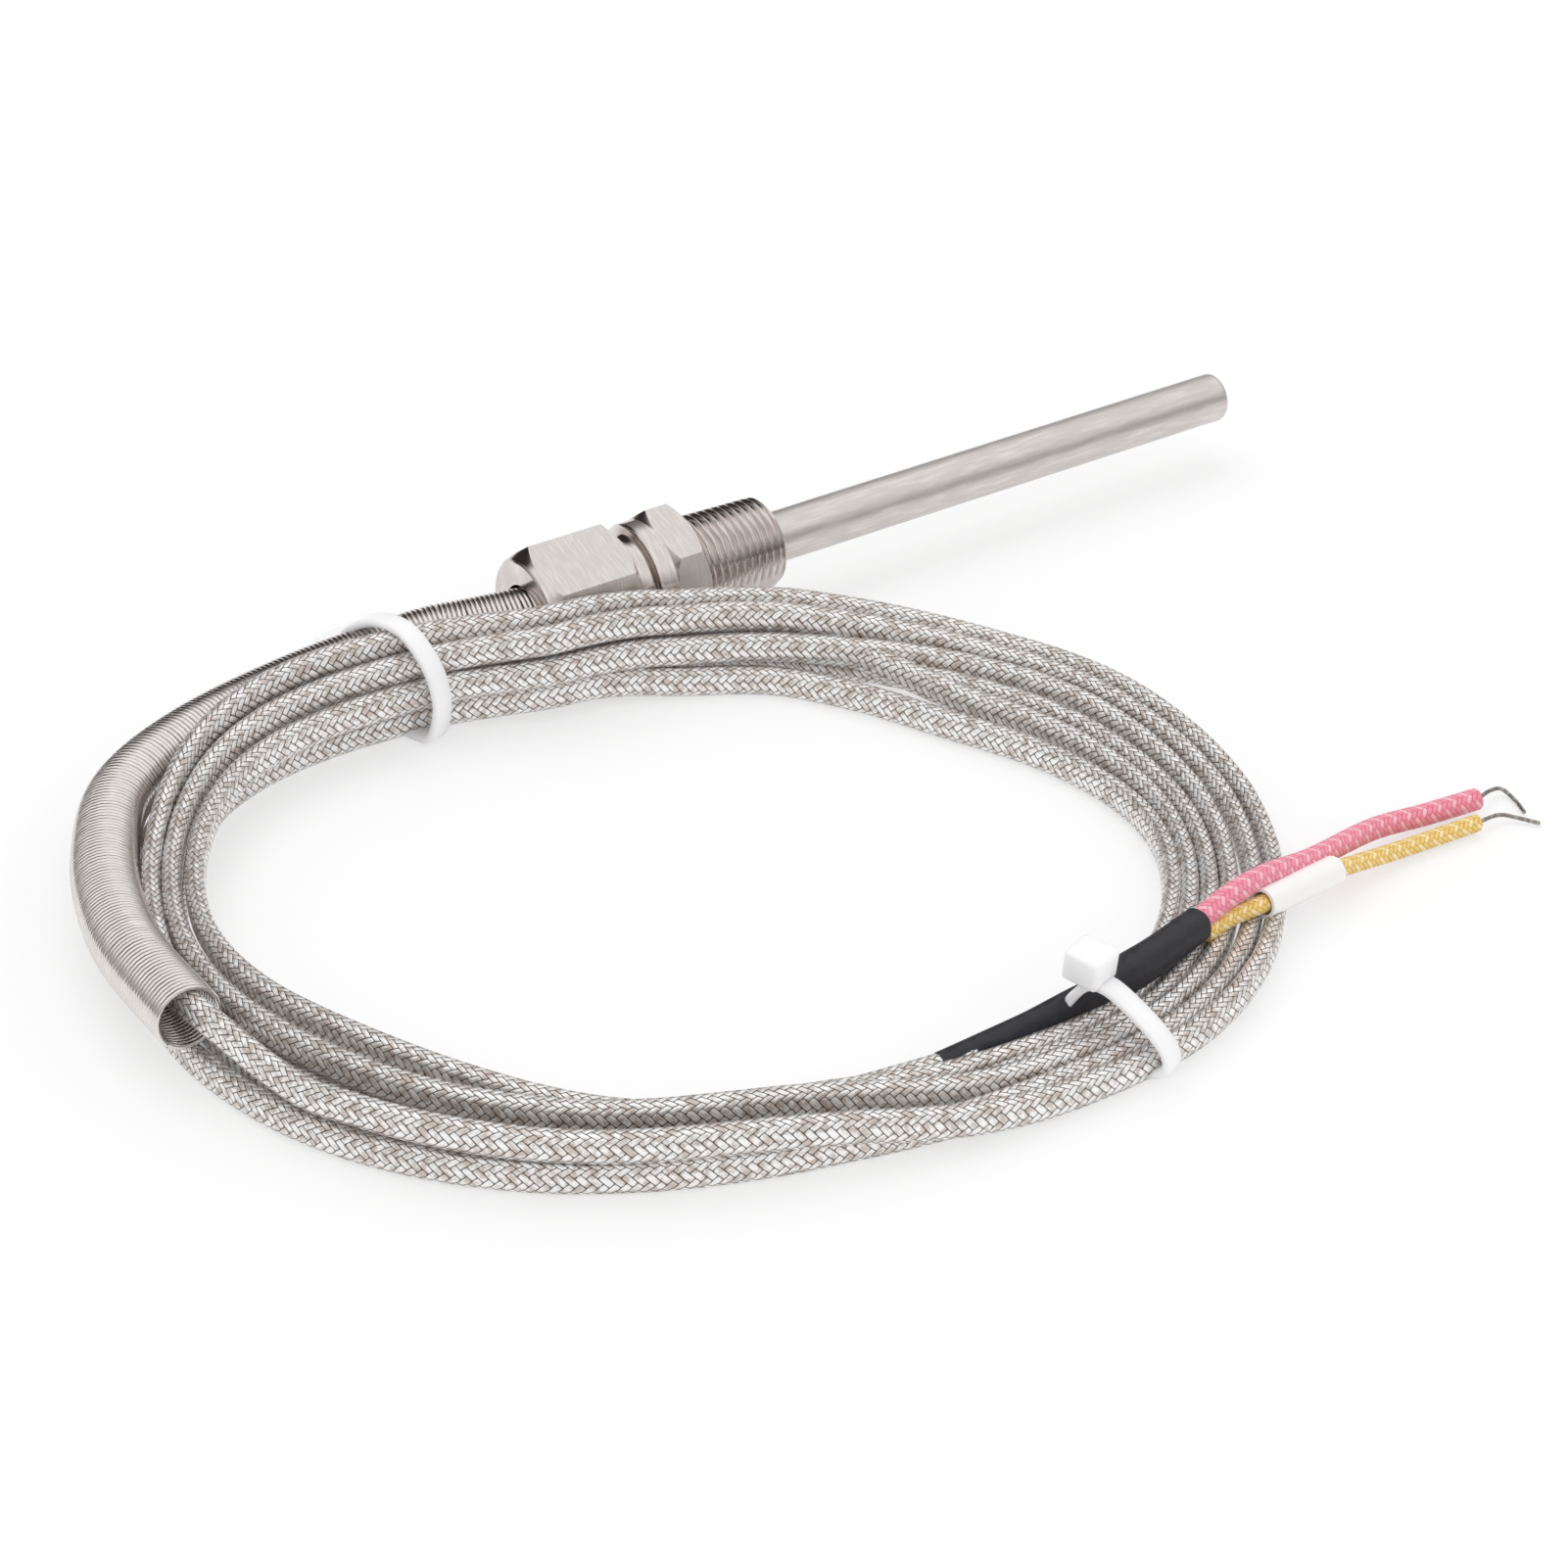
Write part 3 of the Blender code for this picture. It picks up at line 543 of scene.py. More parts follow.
def ribbon_height(tree, spot, run):
    """Height of a ribbon: domed across, arched along its run, and grooved between its wires."""
    across = node(tree, MATH, {0: spot}, operation="FRACT")
    half_turn = node(tree, MATH, {0: across, 1: math.pi}, operation="MULTIPLY")
    dome = node(tree, MATH, {0: half_turn}, operation="SINE")
    dome = node(tree, MATH, {0: dome, 1: DOME_POWER}, operation="POWER")
    half_run = node(tree, MATH, {0: run, 1: math.pi / WEAVE_OVER}, operation="MULTIPLY")
    arch = node(tree, MATH, {0: half_run}, operation="SINE")
    arch = node(tree, MATH, {0: arch, 1: LOWEST_ARCH}, operation="MAXIMUM")
    arch = node(tree, MATH, {0: arch, 1: ARCH_POWER}, operation="POWER")
    wires = node(tree, MATH, {0: across, 1: FULL_TURN * WIRES_PER_RIBBON}, operation="MULTIPLY")
    wires = node(tree, MATH, {0: wires}, operation="COSINE")
    wires = node(tree, MATH, {0: wires, 1: WIRE_RELIEF}, operation="MULTIPLY")
    body = node(tree, MATH, {0: dome, 1: arch}, operation="MULTIPLY")
    return node(tree, MATH, {0: body, 1: wires}, operation="SUBTRACT")


def braid_weave(tree, lay, ribbons):
    """Height and ribbon number of a two-over, two-under braid from the strand's own map.

    The map's first value runs once round the strand and its second is millimetres along it."""
    uv = node(tree, "ShaderNodeUVMap", uv_map="round_and_along")
    parts = node(tree, "ShaderNodeSeparateXYZ", {"Vector": uv})
    around = parts.outputs["X"]
    advance = node(tree, MATH, {0: parts.outputs["Y"], 1: lay}, operation="DIVIDE")
    right = node(tree, MATH, {0: advance, 1: around}, operation="ADD")
    right = node(tree, MATH, {0: right, 1: float(ribbons)}, operation="MULTIPLY")
    left = node(tree, MATH, {0: advance, 1: around}, operation="SUBTRACT")
    left = node(tree, MATH, {0: left, 1: float(ribbons)}, operation="MULTIPLY")
    right_number = node(tree, MATH, {0: right}, operation="FLOOR")
    left_number = node(tree, MATH, {0: left}, operation="FLOOR")
    right_run = ribbon_run(tree, left, right_number, 1.0)
    left_run = ribbon_run(tree, right, left_number, 2.0)
    right_on_top = node(tree, MATH, {0: right_run, 1: WEAVE_OVER}, operation="LESS_THAN")
    right_height = ribbon_height(tree, right, right_run)
    left_height = ribbon_height(tree, left, left_run)
    height = node(tree, MIX, {"Factor": right_on_top, "A": left_height, "B": right_height})
    number = node(tree, MIX, {"Factor": right_on_top, "A": left_number, "B": right_number})
    return height.outputs[0], number.outputs[0]


def stainless_braid():
    """Stainless wire braid: bright herringbone ribbons of uneven gloss, with painted shade in the gaps
    between them and a painted highlight on their tops.
    """
    material, tree, shader = new_material("stainless_wire_braid")
    height = braid_weave(tree, STEEL_LAY, STEEL_RIBBONS)[0]
    # Painted shade and highlight: the colour follows the weave's height, dark in the gaps between ribbons
    # and the grooves between wires, near white on the ribbon tops.
    gap_shade_to_highlight = ((0.12, linear("#443B36")), (0.44, linear("#FCFAF8")))
    ribbons = node(tree, "ShaderNodeValToRGB", {"Fac": height}, gap_shade_to_highlight)
    # Patches about a millimetre wide, where the wires catch more or less light.
    place = node(tree, "ShaderNodeTexCoord")
    patches = node(
        tree,
        "ShaderNodeTexNoise",
        {"Vector": place.outputs["Object"], "Scale": PATCHES_PER_MM / MM, "Detail": 2.0},
    )
    dull_to_bright = ((0.38, linear("#D2C8C1")), (0.56, linear("#FFFFFF")))
    uneven = node(tree, "ShaderNodeValToRGB", {"Fac": patches.outputs["Fac"]}, dull_to_bright)
    inputs = {"Factor": 1.0, COLOR_A: ribbons, COLOR_B: uneven}
    gap_shade_and_light_patches = node(tree, MIX, inputs, data_type="RGBA", blend_type="MULTIPLY")
    bump = node(tree, "ShaderNodeBump", {"Height": height, "Strength": 1.0, "Distance": STEEL_RELIEF * MM})
    feed(tree, shader, {"Base Color": gap_shade_and_light_patches.outputs[COLOR_RESULT], "Normal": bump})
    feed(tree, shader, {"Metallic": 0.65, "Roughness": 0.3})
    return material


def glass_braid(name, yarn, tracer, gap_shade):
    """Glass fibre sleeve: yarn in its dye colour with painted shade in the gaps, paler tracer yarns with a
    painted highlight on their tops, and a soft, matt surface.
    """
    material, tree, shader = new_material(name)
    height, number = braid_weave(tree, GLASS_LAY, GLASS_RIBBONS)
    spot = node(tree, MATH, {0: number, 1: TRACER_EVERY}, operation="FLOORED_MODULO")
    is_tracer = node(tree, MATH, {0: spot, 1: 1.0}, operation="LESS_THAN")
    # Painted shade: the yarn darkens to the gap colour in the low gaps between ribbons and between wires.
    yarn_and_gap_shade_stops = ((0.1, linear(gap_shade)), (0.75, linear(yarn)))
    yarn_with_gap_shade = node(tree, "ShaderNodeValToRGB", {"Fac": height}, yarn_and_gap_shade_stops)
    # Tracer yarns on every third ribbon: paler, rising to a painted highlight on the ribbon tops.
    tracer_highlight_stops = ((0.1, linear(yarn)), (0.6, linear(tracer)))
    tracer_with_highlight = node(tree, "ShaderNodeValToRGB", {"Fac": height}, tracer_highlight_stops)
    mixed = node(tree, MIX, {"Factor": is_tracer, COLOR_A: yarn_with_gap_shade, COLOR_B: tracer_with_highlight}, data_type="RGBA")
    bump = node(tree, "ShaderNodeBump", {"Height": height, "Strength": 0.9, "Distance": GLASS_RELIEF * MM})
    feed(tree, shader, {"Base Color": mixed.outputs[COLOR_RESULT], "Normal": bump})
    feed(tree, shader, {"Roughness": 0.75, "Sheen Weight": 0.3})
    return material


def add_object(name, data):
    """Put an object with this data in the scene."""
    made = bpy.data.objects.new(name, data)
    bpy.context.scene.collection.objects.link(made)
    return made


def add_piece(name, mesh, material):
    """Put a piece with this mesh and one material in the scene."""
    mesh.materials.clear()
    mesh.materials.append(material)
    return add_object(name, mesh)


def shade(mesh, angle):
    """Shade a mesh smooth, except at edges sharper than the angle in degrees."""
    for face in mesh.polygons:
        face.use_smooth = True
    mesh.set_sharp_from_angle(angle=math.radians(angle))


def finished_mesh(work, name):
    """The mesh that was worked on, with its faces turned outwards."""
    bmesh.ops.recalc_face_normals(work, faces=work.faces)
    mesh = bpy.data.meshes.new(name)
    work.to_mesh(mesh)
    work.free()
    return mesh


def evaluated_mesh(piece):
    """The plain mesh that a piece's modifiers make."""
    bpy.context.view_layer.update()
    graph = bpy.context.evaluated_depsgraph_get()
    return bpy.data.meshes.new_from_object(piece.evaluated_get(graph))


def bake(piece):
    """Turn a piece with modifiers into a plain mesh."""
    mesh = evaluated_mesh(piece)
    piece.modifiers.clear()
    piece.data = mesh


def give_wall(piece, thickness):
    """Give an open tube its wall, inwards, in millimetres."""
    wall = piece.modifiers.new("wall", "SOLIDIFY")
    wall.thickness = thickness * MM
    wall.offset = -1.0
    bake(piece)
    shade(piece.data, 50.0)


def oval(width, height, sides, squareness):
    """A rounded section in metres; a squareness of 2 is an ellipse, and more fills its corners."""
    points = []
    for index in range(sides):
        phase = FULL_TURN * index / sides
        x = math.copysign(abs(math.cos(phase)) ** (2.0 / squareness), math.cos(phase))
        y = math.copysign(abs(math.sin(phase)) ** (2.0 / squareness), math.sin(phase))
        points.append((x * width / 2.0 * MM, y * height / 2.0 * MM))
    return points


def strand_rings(work, route, sections):
    """A ring of vertices at each point of a route, square to it and upright."""
    rings = []
    for index, point in enumerate(route):
        heading = route[min(index + 1, len(route) - 1)] - route[max(index - 1, 0)]
        across = heading.cross(UP).normalized()
        rise = across.cross(heading).normalized()
        rings.append([work.verts.new(point + across * x + rise * y) for x, y in sections[index]])
    return rings


def strand_mesh(name, route, sections, closed_ends=True):
    """Loft a strand along a route in the row frame, with a section in metres at each point.

    The map holds one turn round the strand and the millimetres along it."""
    work = bmesh.new()
    layer = work.loops.layers.uv.new("round_and_along")
    rings = strand_rings(work, route, sections)
    sides = len(rings[0])
    along = 0.0
    for index in range(len(route) - 1):
        here, beyond = rings[index], rings[index + 1]
        next_along = along + (route[index + 1] - route[index]).length / MM
        for corner in range(sides):
            after = (corner + 1) % sides
            face = work.faces.new((here[corner], here[after], beyond[after], beyond[corner]))
            first, second = corner / sides, (corner + 1) / sides
            marks = ((first, along), (second, along), (second, next_along), (first, next_along))
            for loop, mark in zip(face.loops, marks):
                loop[layer].uv = mark
        along = next_along
    if closed_ends:
        work.faces.new(list(reversed(rings[0])))
        work.faces.new(rings[-1])
    mesh = finished_mesh(work, name)
    shade(mesh, 60.0)
    return mesh


def about_axis(station, radius, turn):
    """A place in the row frame at a station, a radius and a turn about the probe's axis."""
    y = radius * MM * math.cos(turn)
    z = (AXIS_HEIGHT + radius * math.sin(turn)) * MM
    return ((THREAD_END_X + station) * MM, y, z)


def turned_mesh(name, profile, closed, steps):
    """Revolve (station, radius) points about the probe's axis, in the row frame."""
    work = bmesh.new()
    rings = []
    for station, radius in profile:
        turns = [FULL_TURN * index / steps for index in range(steps if radius else 1)]
        rings.append([work.verts.new(about_axis(station, radius, turn)) for turn in turns])
    followers = rings[1:] + rings[:1] if closed else rings[1:]
    for here, beyond in zip(rings, followers):
        for index in range(steps):
            after = (index + 1) % steps
            corners = [here[index % len(here)], here[after % len(here)]]
            corners += [beyond[after % len(beyond)], beyond[index % len(beyond)]]
            unique = list(dict.fromkeys(corners))
            if len(unique) > 2:
                work.faces.new(unique)
    return finished_mesh(work, name)


def hex_bar(name, front, rear):
    """A hexagonal bar along the probe's axis with one corner tilted back from straight up."""
    work = bmesh.new()
    rings = []
    for station in (front, rear):
        turns = [math.pi / 2.0 - HEX_VERTEX_TILT + index * math.pi / 3.0 for index in range(6)]
        rings.append([work.verts.new(about_axis(station, HEX_RADIUS, turn)) for turn in turns])
    for index in range(6):
        after = (index + 1) % 6
        work.faces.new((rings[0][index], rings[0][after], rings[1][after], rings[1][index]))
    work.faces.new(rings[0])
    work.faces.new(rings[1])
    return add_object(name, finished_mesh(work, name))


def mill_flats(mesh, material):
    """Give the hexagon's flats, which lie at its flat radius about the axis, the milled finish."""
    mesh.materials.append(material)
    axis = Vector((0.0, 0.0, AXIS_HEIGHT * MM))
    for face in mesh.polygons:
        distance = (face.center - axis).dot(face.normal) / MM
        if abs(face.normal.x) < FLAT_TILT and abs(distance - HEX_FLAT_RADIUS) < FLAT_GAP:
            face.material_index = 1


def hex_piece(name, profile, lathed, milled, edge_width):
    """A turned and bored blank cut to a hexagon, with its edges just broken."""
    piece = add_piece(name, turned_mesh(name, profile, True, HEX_STEPS), lathed)
    bar = hex_bar(name + "_bar", profile[0][0] + BAR_REACH[0], profile[0][0] + BAR_REACH[1])
    cut = piece.modifiers.new("hexagon", "BOOLEAN")
    cut.operation = "INTERSECT"
    cut.solver = "EXACT"
    cut.object = bar
    edge = piece.modifiers.new("edge", "BEVEL")
    edge.width = edge_width * MM
    edge.segments = 2
    edge.limit_method = "ANGLE"
    edge.angle_limit = math.radians(22.0)
    bake(piece)
    bpy.data.objects.remove(bar, do_unlink=True)
    shade(piece.data, 30.0)
    even = piece.modifiers.new("even", "WEIGHTED_NORMAL")
    even.weight = 100
    even.keep_sharp = True
    bake(piece)
    mill_flats(piece.data, milled)
    return piece


def thread_radius(station, turn_share):
    """Radius of the male thread at a station, for a share of a turn round it."""
    crest = THREAD_NOSE_CREST + THREAD_TAPER * min(-station / THREAD_LENGTH, 1.0)
    phase = (station / THREAD_PITCH - turn_share) % 1.0
    valley = abs(2.0 * phase - 1.0)
    depth = min(max((valley - GROOVE_CREST_SHARE) / GROOVE_FLANK_SHARE, 0.0), 1.0) * THREAD_GROOVE
    return min(crest - depth, THREAD_CHAMFER_RADIUS - station)


def thread_mesh(name):
    """The male thread as one helical skin round its bore, with a chamfered nose."""
    count = int(THREAD_LENGTH / THREAD_PITCH * THREAD_ROWS)
    shares = [index / THREAD_STEPS for index in range(THREAD_STEPS)]
    work = bmesh.new()
    rings = []
    for row in range(count + 1):
        station = -THREAD_LENGTH * row / count
        spots = [about_axis(station, thread_radius(station, share), FULL_TURN * share) for share in shares]
        rings.append([work.verts.new(spot) for spot in spots])
    for station in (-THREAD_LENGTH, 0.0):
        spots = [about_axis(station, BODY_BORE, FULL_TURN * share) for share in shares]
        rings.append([work.verts.new(spot) for spot in spots])
    for here, beyond in zip(rings, rings[1:] + rings[:1]):
        for index in range(THREAD_STEPS):
            after = (index + 1) % THREAD_STEPS
            work.faces.new((here[index], here[after], beyond[after], beyond[index]))
    mesh = finished_mesh(work, name)
    shade(mesh, 32.0)
    return mesh


def make_sheath(material):
    """The sheath: a tube with a closed, slightly rounded tip."""
    profile = [(SHEATH_TIP, 0.0)]
    for step in range(TIP_STEPS):
        turn = step * math.pi / 12.0
        station = SHEATH_TIP - TIP_ROUNDING + TIP_ROUNDING * math.cos(turn)
        profile.append((station, SHEATH_RADIUS - TIP_ROUNDING + TIP_ROUNDING * math.sin(turn)))
    profile += [
        (SHEATH_REAR, SHEATH_RADIUS),
        (SHEATH_REAR, SHEATH_BORE),
        (SHEATH_TIP - SHEATH_END_WALL, SHEATH_BORE),
        (SHEATH_TIP - SHEATH_END_WALL, 0.0),
    ]
    mesh = turned_mesh("probe_sheath", profile, False, SHEATH_STEPS)
    shade(mesh, 40.0)
    return add_piece("probe_sheath", mesh, material)


def make_cable():
    """The flat braided cable: through the spring, round the coil and into the shrink sleeve."""
    points = [on_axis(CABLE_START), on_axis(NUT_REAR)] + SPRING_ROUTE[:-1] + [CABLE_MOUTH]
    points += coil_points() + SHRINK_ROUTE[:3]
    route = bench_route(points, CABLE_SPACING)
    for point in route:
        point.z = max(point.z, CABLE_HEIGHT / 2.0 * MM)
    section = oval(CABLE_THICKNESS, CABLE_HEIGHT, CABLE_SIDES, CABLE_SQUARENESS)
    mesh = strand_mesh("braided_cable", route, [section] * len(route))
    return add_piece("braided_cable", mesh, stainless_braid()), route


def spiral_inputs(tree):
    """The named inputs of the tree that winds a wire, and its output."""
    sockets = tree.interface
    sockets.new_socket("Geometry", in_out="INPUT", socket_type="NodeSocketGeometry")
    for name, kind in (
        ("Turns", "NodeSocketFloat"),
        ("Steps", "NodeSocketInt"),
        ("Coil Radius", "NodeSocketFloat"),
        ("Wire Radius", "NodeSocketFloat"),
        ("Wire Sides", "NodeSocketInt"),
        ("Material", "NodeSocketMaterial"),
    ):
        sockets.new_socket(name, in_out="INPUT", socket_type=kind)
    sockets.new_socket("Geometry", in_out="OUTPUT", socket_type="NodeSocketGeometry")
    return node(tree, "NodeGroupInput").outputs


def spiral_offset(tree, turns, coil_radius):
    """How far the wire lies from the curve, out and over, as it winds round it."""
    share = node(tree, "GeometryNodeSplineParameter").outputs["Factor"]
    gone = node(tree, MATH, {0: share, 1: turns}, operation="MULTIPLY")
    angle = node(tree, MATH, {0: gone, 1: FULL_TURN}, operation="MULTIPLY")
    normal = node(tree, "GeometryNodeInputNormal").outputs["Normal"]
    tangent = node(tree, "GeometryNodeInputTangent")
    side = node(tree, VECTOR_MATH, {0: tangent, 1: normal}, operation="CROSS_PRODUCT")
    arms = []
    for direction, wave in ((normal, "COSINE"), (side, "SINE")):
        swing = node(tree, MATH, {0: angle}, operation=wave)
        arm = node(tree, MATH, {0: swing, 1: coil_radius}, operation="MULTIPLY")
        arms.append(node(tree, VECTOR_MATH, {0: direction, "Scale": arm}, operation="SCALE"))
    return node(tree, VECTOR_MATH, {0: arms[0], 1: arms[1]}, operation="ADD")


def spiral_tree():
    """A node tree that winds a wire round a curve."""
    tree = bpy.data.node_groups.new("wound_wire", "GeometryNodeTree")
    given = spiral_inputs(tree)
    even = node(
        tree,
        "GeometryNodeResampleCurve",
        {"Curve": given["Geometry"], "Count": given["Steps"]},
    )
    offset = spiral_offset(tree, given["Turns"], given["Coil Radius"])
    wound = node(tree, "GeometryNodeSetPosition", {"Geometry": even, "Offset": offset})
    ring = node(
        tree,
        "GeometryNodeCurvePrimitiveCircle",
        {"Resolution": given["Wire Sides"], "Radius": given["Wire Radius"]},
    )
    wire = node(
        tree,
        "GeometryNodeCurveToMesh",
        {"Curve": wound, "Profile Curve": ring, "Fill Caps": True},
    )
    real = node(tree, "GeometryNodeRealizeInstances", {"Geometry": wire})
    inputs = {"Geometry": real, "Material": given["Material"]}
    finished = node(tree, "GeometryNodeSetMaterial", inputs)
    node(tree, "NodeGroupOutput", {"Geometry": finished})
    return tree


def path_curve(name, route):
    """A curve through the points of a route."""
    curve = bpy.data.curves.new(name, "CURVE")
    curve.dimensions = "3D"
    spline = curve.splines.new("POLY")
    spline.points.add(len(route) - 1)
    for index, point in enumerate(route):
        spline.points[index].co = (*point, 1.0)
    return add_object(name, curve)


def run_tree(piece, tree, **values):
    """The mesh that a node tree makes of a piece, with its named inputs set."""
    modifier = piece.modifiers.new("nodes", "NODES")
    modifier.node_group = tree
    for item in tree.interface.items_tree:
        key = item.name.replace(" ", "_").lower()
        if item.in_out == "INPUT" and key in values:
            modifier[item.identifier] = values[key]
    return evaluated_mesh(piece)


def make_spring(material):
    """The close-wound spring that guards the cable, as one wire."""
    points = [on_axis(NUT_REAR + SPRING_SEAT), on_axis(NUT_REAR)] + SPRING_ROUTE
    route = bench_route(points, SPRING_SPACING)
    turns = route_length(route) / MM / SPRING_PITCH
    path = path_curve("spring_path", route)
    mesh = run_tree(
        path,
        spiral_tree(),
        turns=turns,
        steps=int(turns * STEPS_PER_TURN),
        coil_radius=SPRING_COIL_RADIUS * MM,
        wire_radius=SPRING_WIRE_RADIUS * MM,
        wire_sides=SPRING_WIRE_SIDES,
        material=material,
    )
    bpy.data.objects.remove(path, do_unlink=True)
    shade(mesh, 80.0)
    return add_piece("wound_spring", mesh, material)


def shrink_section(share):
    """The sleeve's section at a share of its length."""
    swell = min(max((share - SWELL_FROM) / SWELL_SHARE, 0.0), 1.0)
    taper = max((share - TAPER_FROM) / (1.0 - TAPER_FROM), 0.0)
    width = SHRINK_WIDTH + SWELL_WIDTH * swell - TAPER_WIDTH * taper
    height = SHRINK_HEIGHT + SWELL_HEIGHT * swell - TAPER_HEIGHT * taper
    return oval(width, height, SHRINK_SIDES, SHRINK_SQUARENESS)


def make_shrink(material):
    """The shrink sleeve: flattened over the cable, swelling over the joint and open at the leads."""
    route = bench_route(SHRINK_ROUTE, SHRINK_SPACING)
    sections = [shrink_section(index / (len(route) - 1)) for index in range(len(route))]
    mesh = strand_mesh("shrink_sleeve", route, sections, closed_ends=False)
    sleeve = add_piece("shrink_sleeve", mesh, material)
    give_wall(sleeve, SHRINK_WALL)
    return sleeve


def make_lead(name, points, radius, material):
    """A round lead or bare wire along its points, with its route."""
    route = bench_route(points, LEAD_SPACING)
    section = oval(radius * 2.0, radius * 2.0, LEAD_SIDES, ROUND)
    mesh = strand_mesh(name, route, [section] * len(route))
    return add_piece(name, mesh, material), route


def make_marker(material):
    """The plain marker tube that sits on the yellow lead."""
    route = bench_route([MARKER_FROM, MARKER_TO], MARKER_SPACING)
    section = oval(MARKER_DIAMETER, MARKER_DIAMETER, MARKER_SIDES, ROUND)
    mesh = strand_mesh("marker_tube", route, [section] * len(route), closed_ends=False)
    tube = add_piece("marker_tube", mesh, material)
    give_wall(tube, MARKER_WALL)
    return tube


def strap_loop(ring, spin):
    """Closed smooth loop through (distance, height) points, turned to its place round the coil."""
    knots = [Vector((across, 0.0, height)) for across, height in ring]
    loop = []
    for index in range(len(ring)):
        four = [knots[(index + step) % len(ring)] for step in (-1, 0, 1, 2)]
        for part in range(TIE_PARTS):
            loop.append(spin @ catmull(*four, part / TIE_PARTS))
    return loop


def strap_section():
    """The strap's flat section with its corners taken off, in millimetres."""
    x = TIE_WIDTH / 2.0
    y = TIE_THICKNESS / 2.0
    inner_x = x - TIE_CORNER
    inner_y = y - TIE_CORNER
    left = [(-x, -inner_y), (-x, inner_y), (-inner_x, y), (inner_x, y)]
    return left + [(x, inner_y), (x, -inner_y), (inner_x, -y), (-inner_x, -y)]


def strap_mesh(name, ring, spin):
    """The strap, drawn round the bundle."""
    loop = strap_loop(ring, spin)
    along = spin @ Vector((0.0, 1.0, 0.0))
    section = strap_section()
    work = bmesh.new()
    rings = []
    for index, point in enumerate(loop):
        heading = loop[(index + 1) % len(loop)] - loop[index - 1]
        outward = heading.cross(along).normalized()
        rings.append([work.verts.new(on_bench(point + along * x + outward * y)) for x, y in section])
    for here, beyond in zip(rings, rings[1:] + rings[:1]):
        for corner in range(len(section)):
            after = (corner + 1) % len(section)
            work.faces.new((here[corner], here[after], beyond[after], beyond[corner]))
    return finished_mesh(work, name)


def tie_head_mesh(name, spin, head_at, head_turn):
    """The block that locks the strap, with rounded edges."""
    block = bmesh.new()
    bmesh.ops.create_cube(block, size=1.0, matrix=Matrix.Diagonal((*TIE_HEAD, 1.0)))
    edges = list(block.edges)
    bmesh.ops.bevel(block, geom=edges, offset=TIE_HEAD_ROUNDING, segments=4, affect="EDGES", profile=0.5)
    place = spin.to_4x4() @ Matrix.Translation((head_at[0], 0.0, head_at[1]))
    place = place @ Matrix.Rotation(head_turn, 4, "Y")
    for vert in block.verts:
        vert.co = on_bench(place @ vert.co)
    return finished_mesh(block, name)


def make_tie(name, ring, angle, head_at, head_turn, material):
    """A nylon tie: its strap and its head, at an angle round the coil."""
    spin = Matrix.Rotation(math.radians(angle), 3, "Z")
    strap = strap_mesh(name, ring, spin)
    head = tie_head_mesh(name + "_head", spin, head_at, head_turn)
    shade(strap, 50.0)
    shade(head, 50.0)
    return add_piece(name, strap, material), add_piece(name + "_head", head, material)


def place_camera():
    """The photograph's camera."""
    target = on_bench(VIEW_TARGET)
    forward = turned((0.0, math.cos(VIEW_ELEVATION), -math.sin(VIEW_ELEVATION)), TO_ROW)
    data = bpy.data.cameras.new("camera")
    data.sensor_width = SENSOR
    data.lens = FOCAL_SHARE * SENSOR
    data.clip_start = CLIP_NEAR
    data.clip_end = CLIP_FAR
    camera = add_object("camera", data)
    camera.location = target - forward * VIEW_DISTANCE * MM
    camera.rotation_mode = "QUATERNION"
    camera.rotation_quaternion = forward.to_track_quat("-Z", "Y")
    bpy.context.scene.camera = camera


def make_bench():
    """The bench: white paper that keeps the object's shadow and shows white in gloss."""
    bpy.ops.mesh.primitive_plane_add(size=BENCH_SIZE, location=(0.0, 0.0, -BENCH_DROP))
    floor = bpy.context.object
    floor.name = "floor"
    material, tree, shader = new_material("white_bench")
    feed(tree, shader, {"Base Color": linear(BENCH_WHITE), "Roughness": 0.9})
    floor.data.materials.append(material)
    glow = node(tree, "ShaderNodeEmission", {"Color": linear("#FFFFFF"), "Strength": 1.0})
    rays = node(tree, "ShaderNodeLightPath").outputs
    inputs = {0: rays["Is Glossy Ray"], 1: rays["Is Transmission Ray"]}
    seen = node(tree, MATH, inputs, operation="MAXIMUM")
    seen = node(tree, MATH, {0: rays["Is Camera Ray"], 1: seen}, operation="MAXIMUM")
    share = node(tree, MATH, {0: seen, 1: BENCH_GLOW_SHARE}, operation="MULTIPLY")
    mix = node(tree, "ShaderNodeMixShader", {"Fac": share, 1: shader, 2: glow})
    feed(tree, tree.nodes["Material Output"], {"Surface": mix})


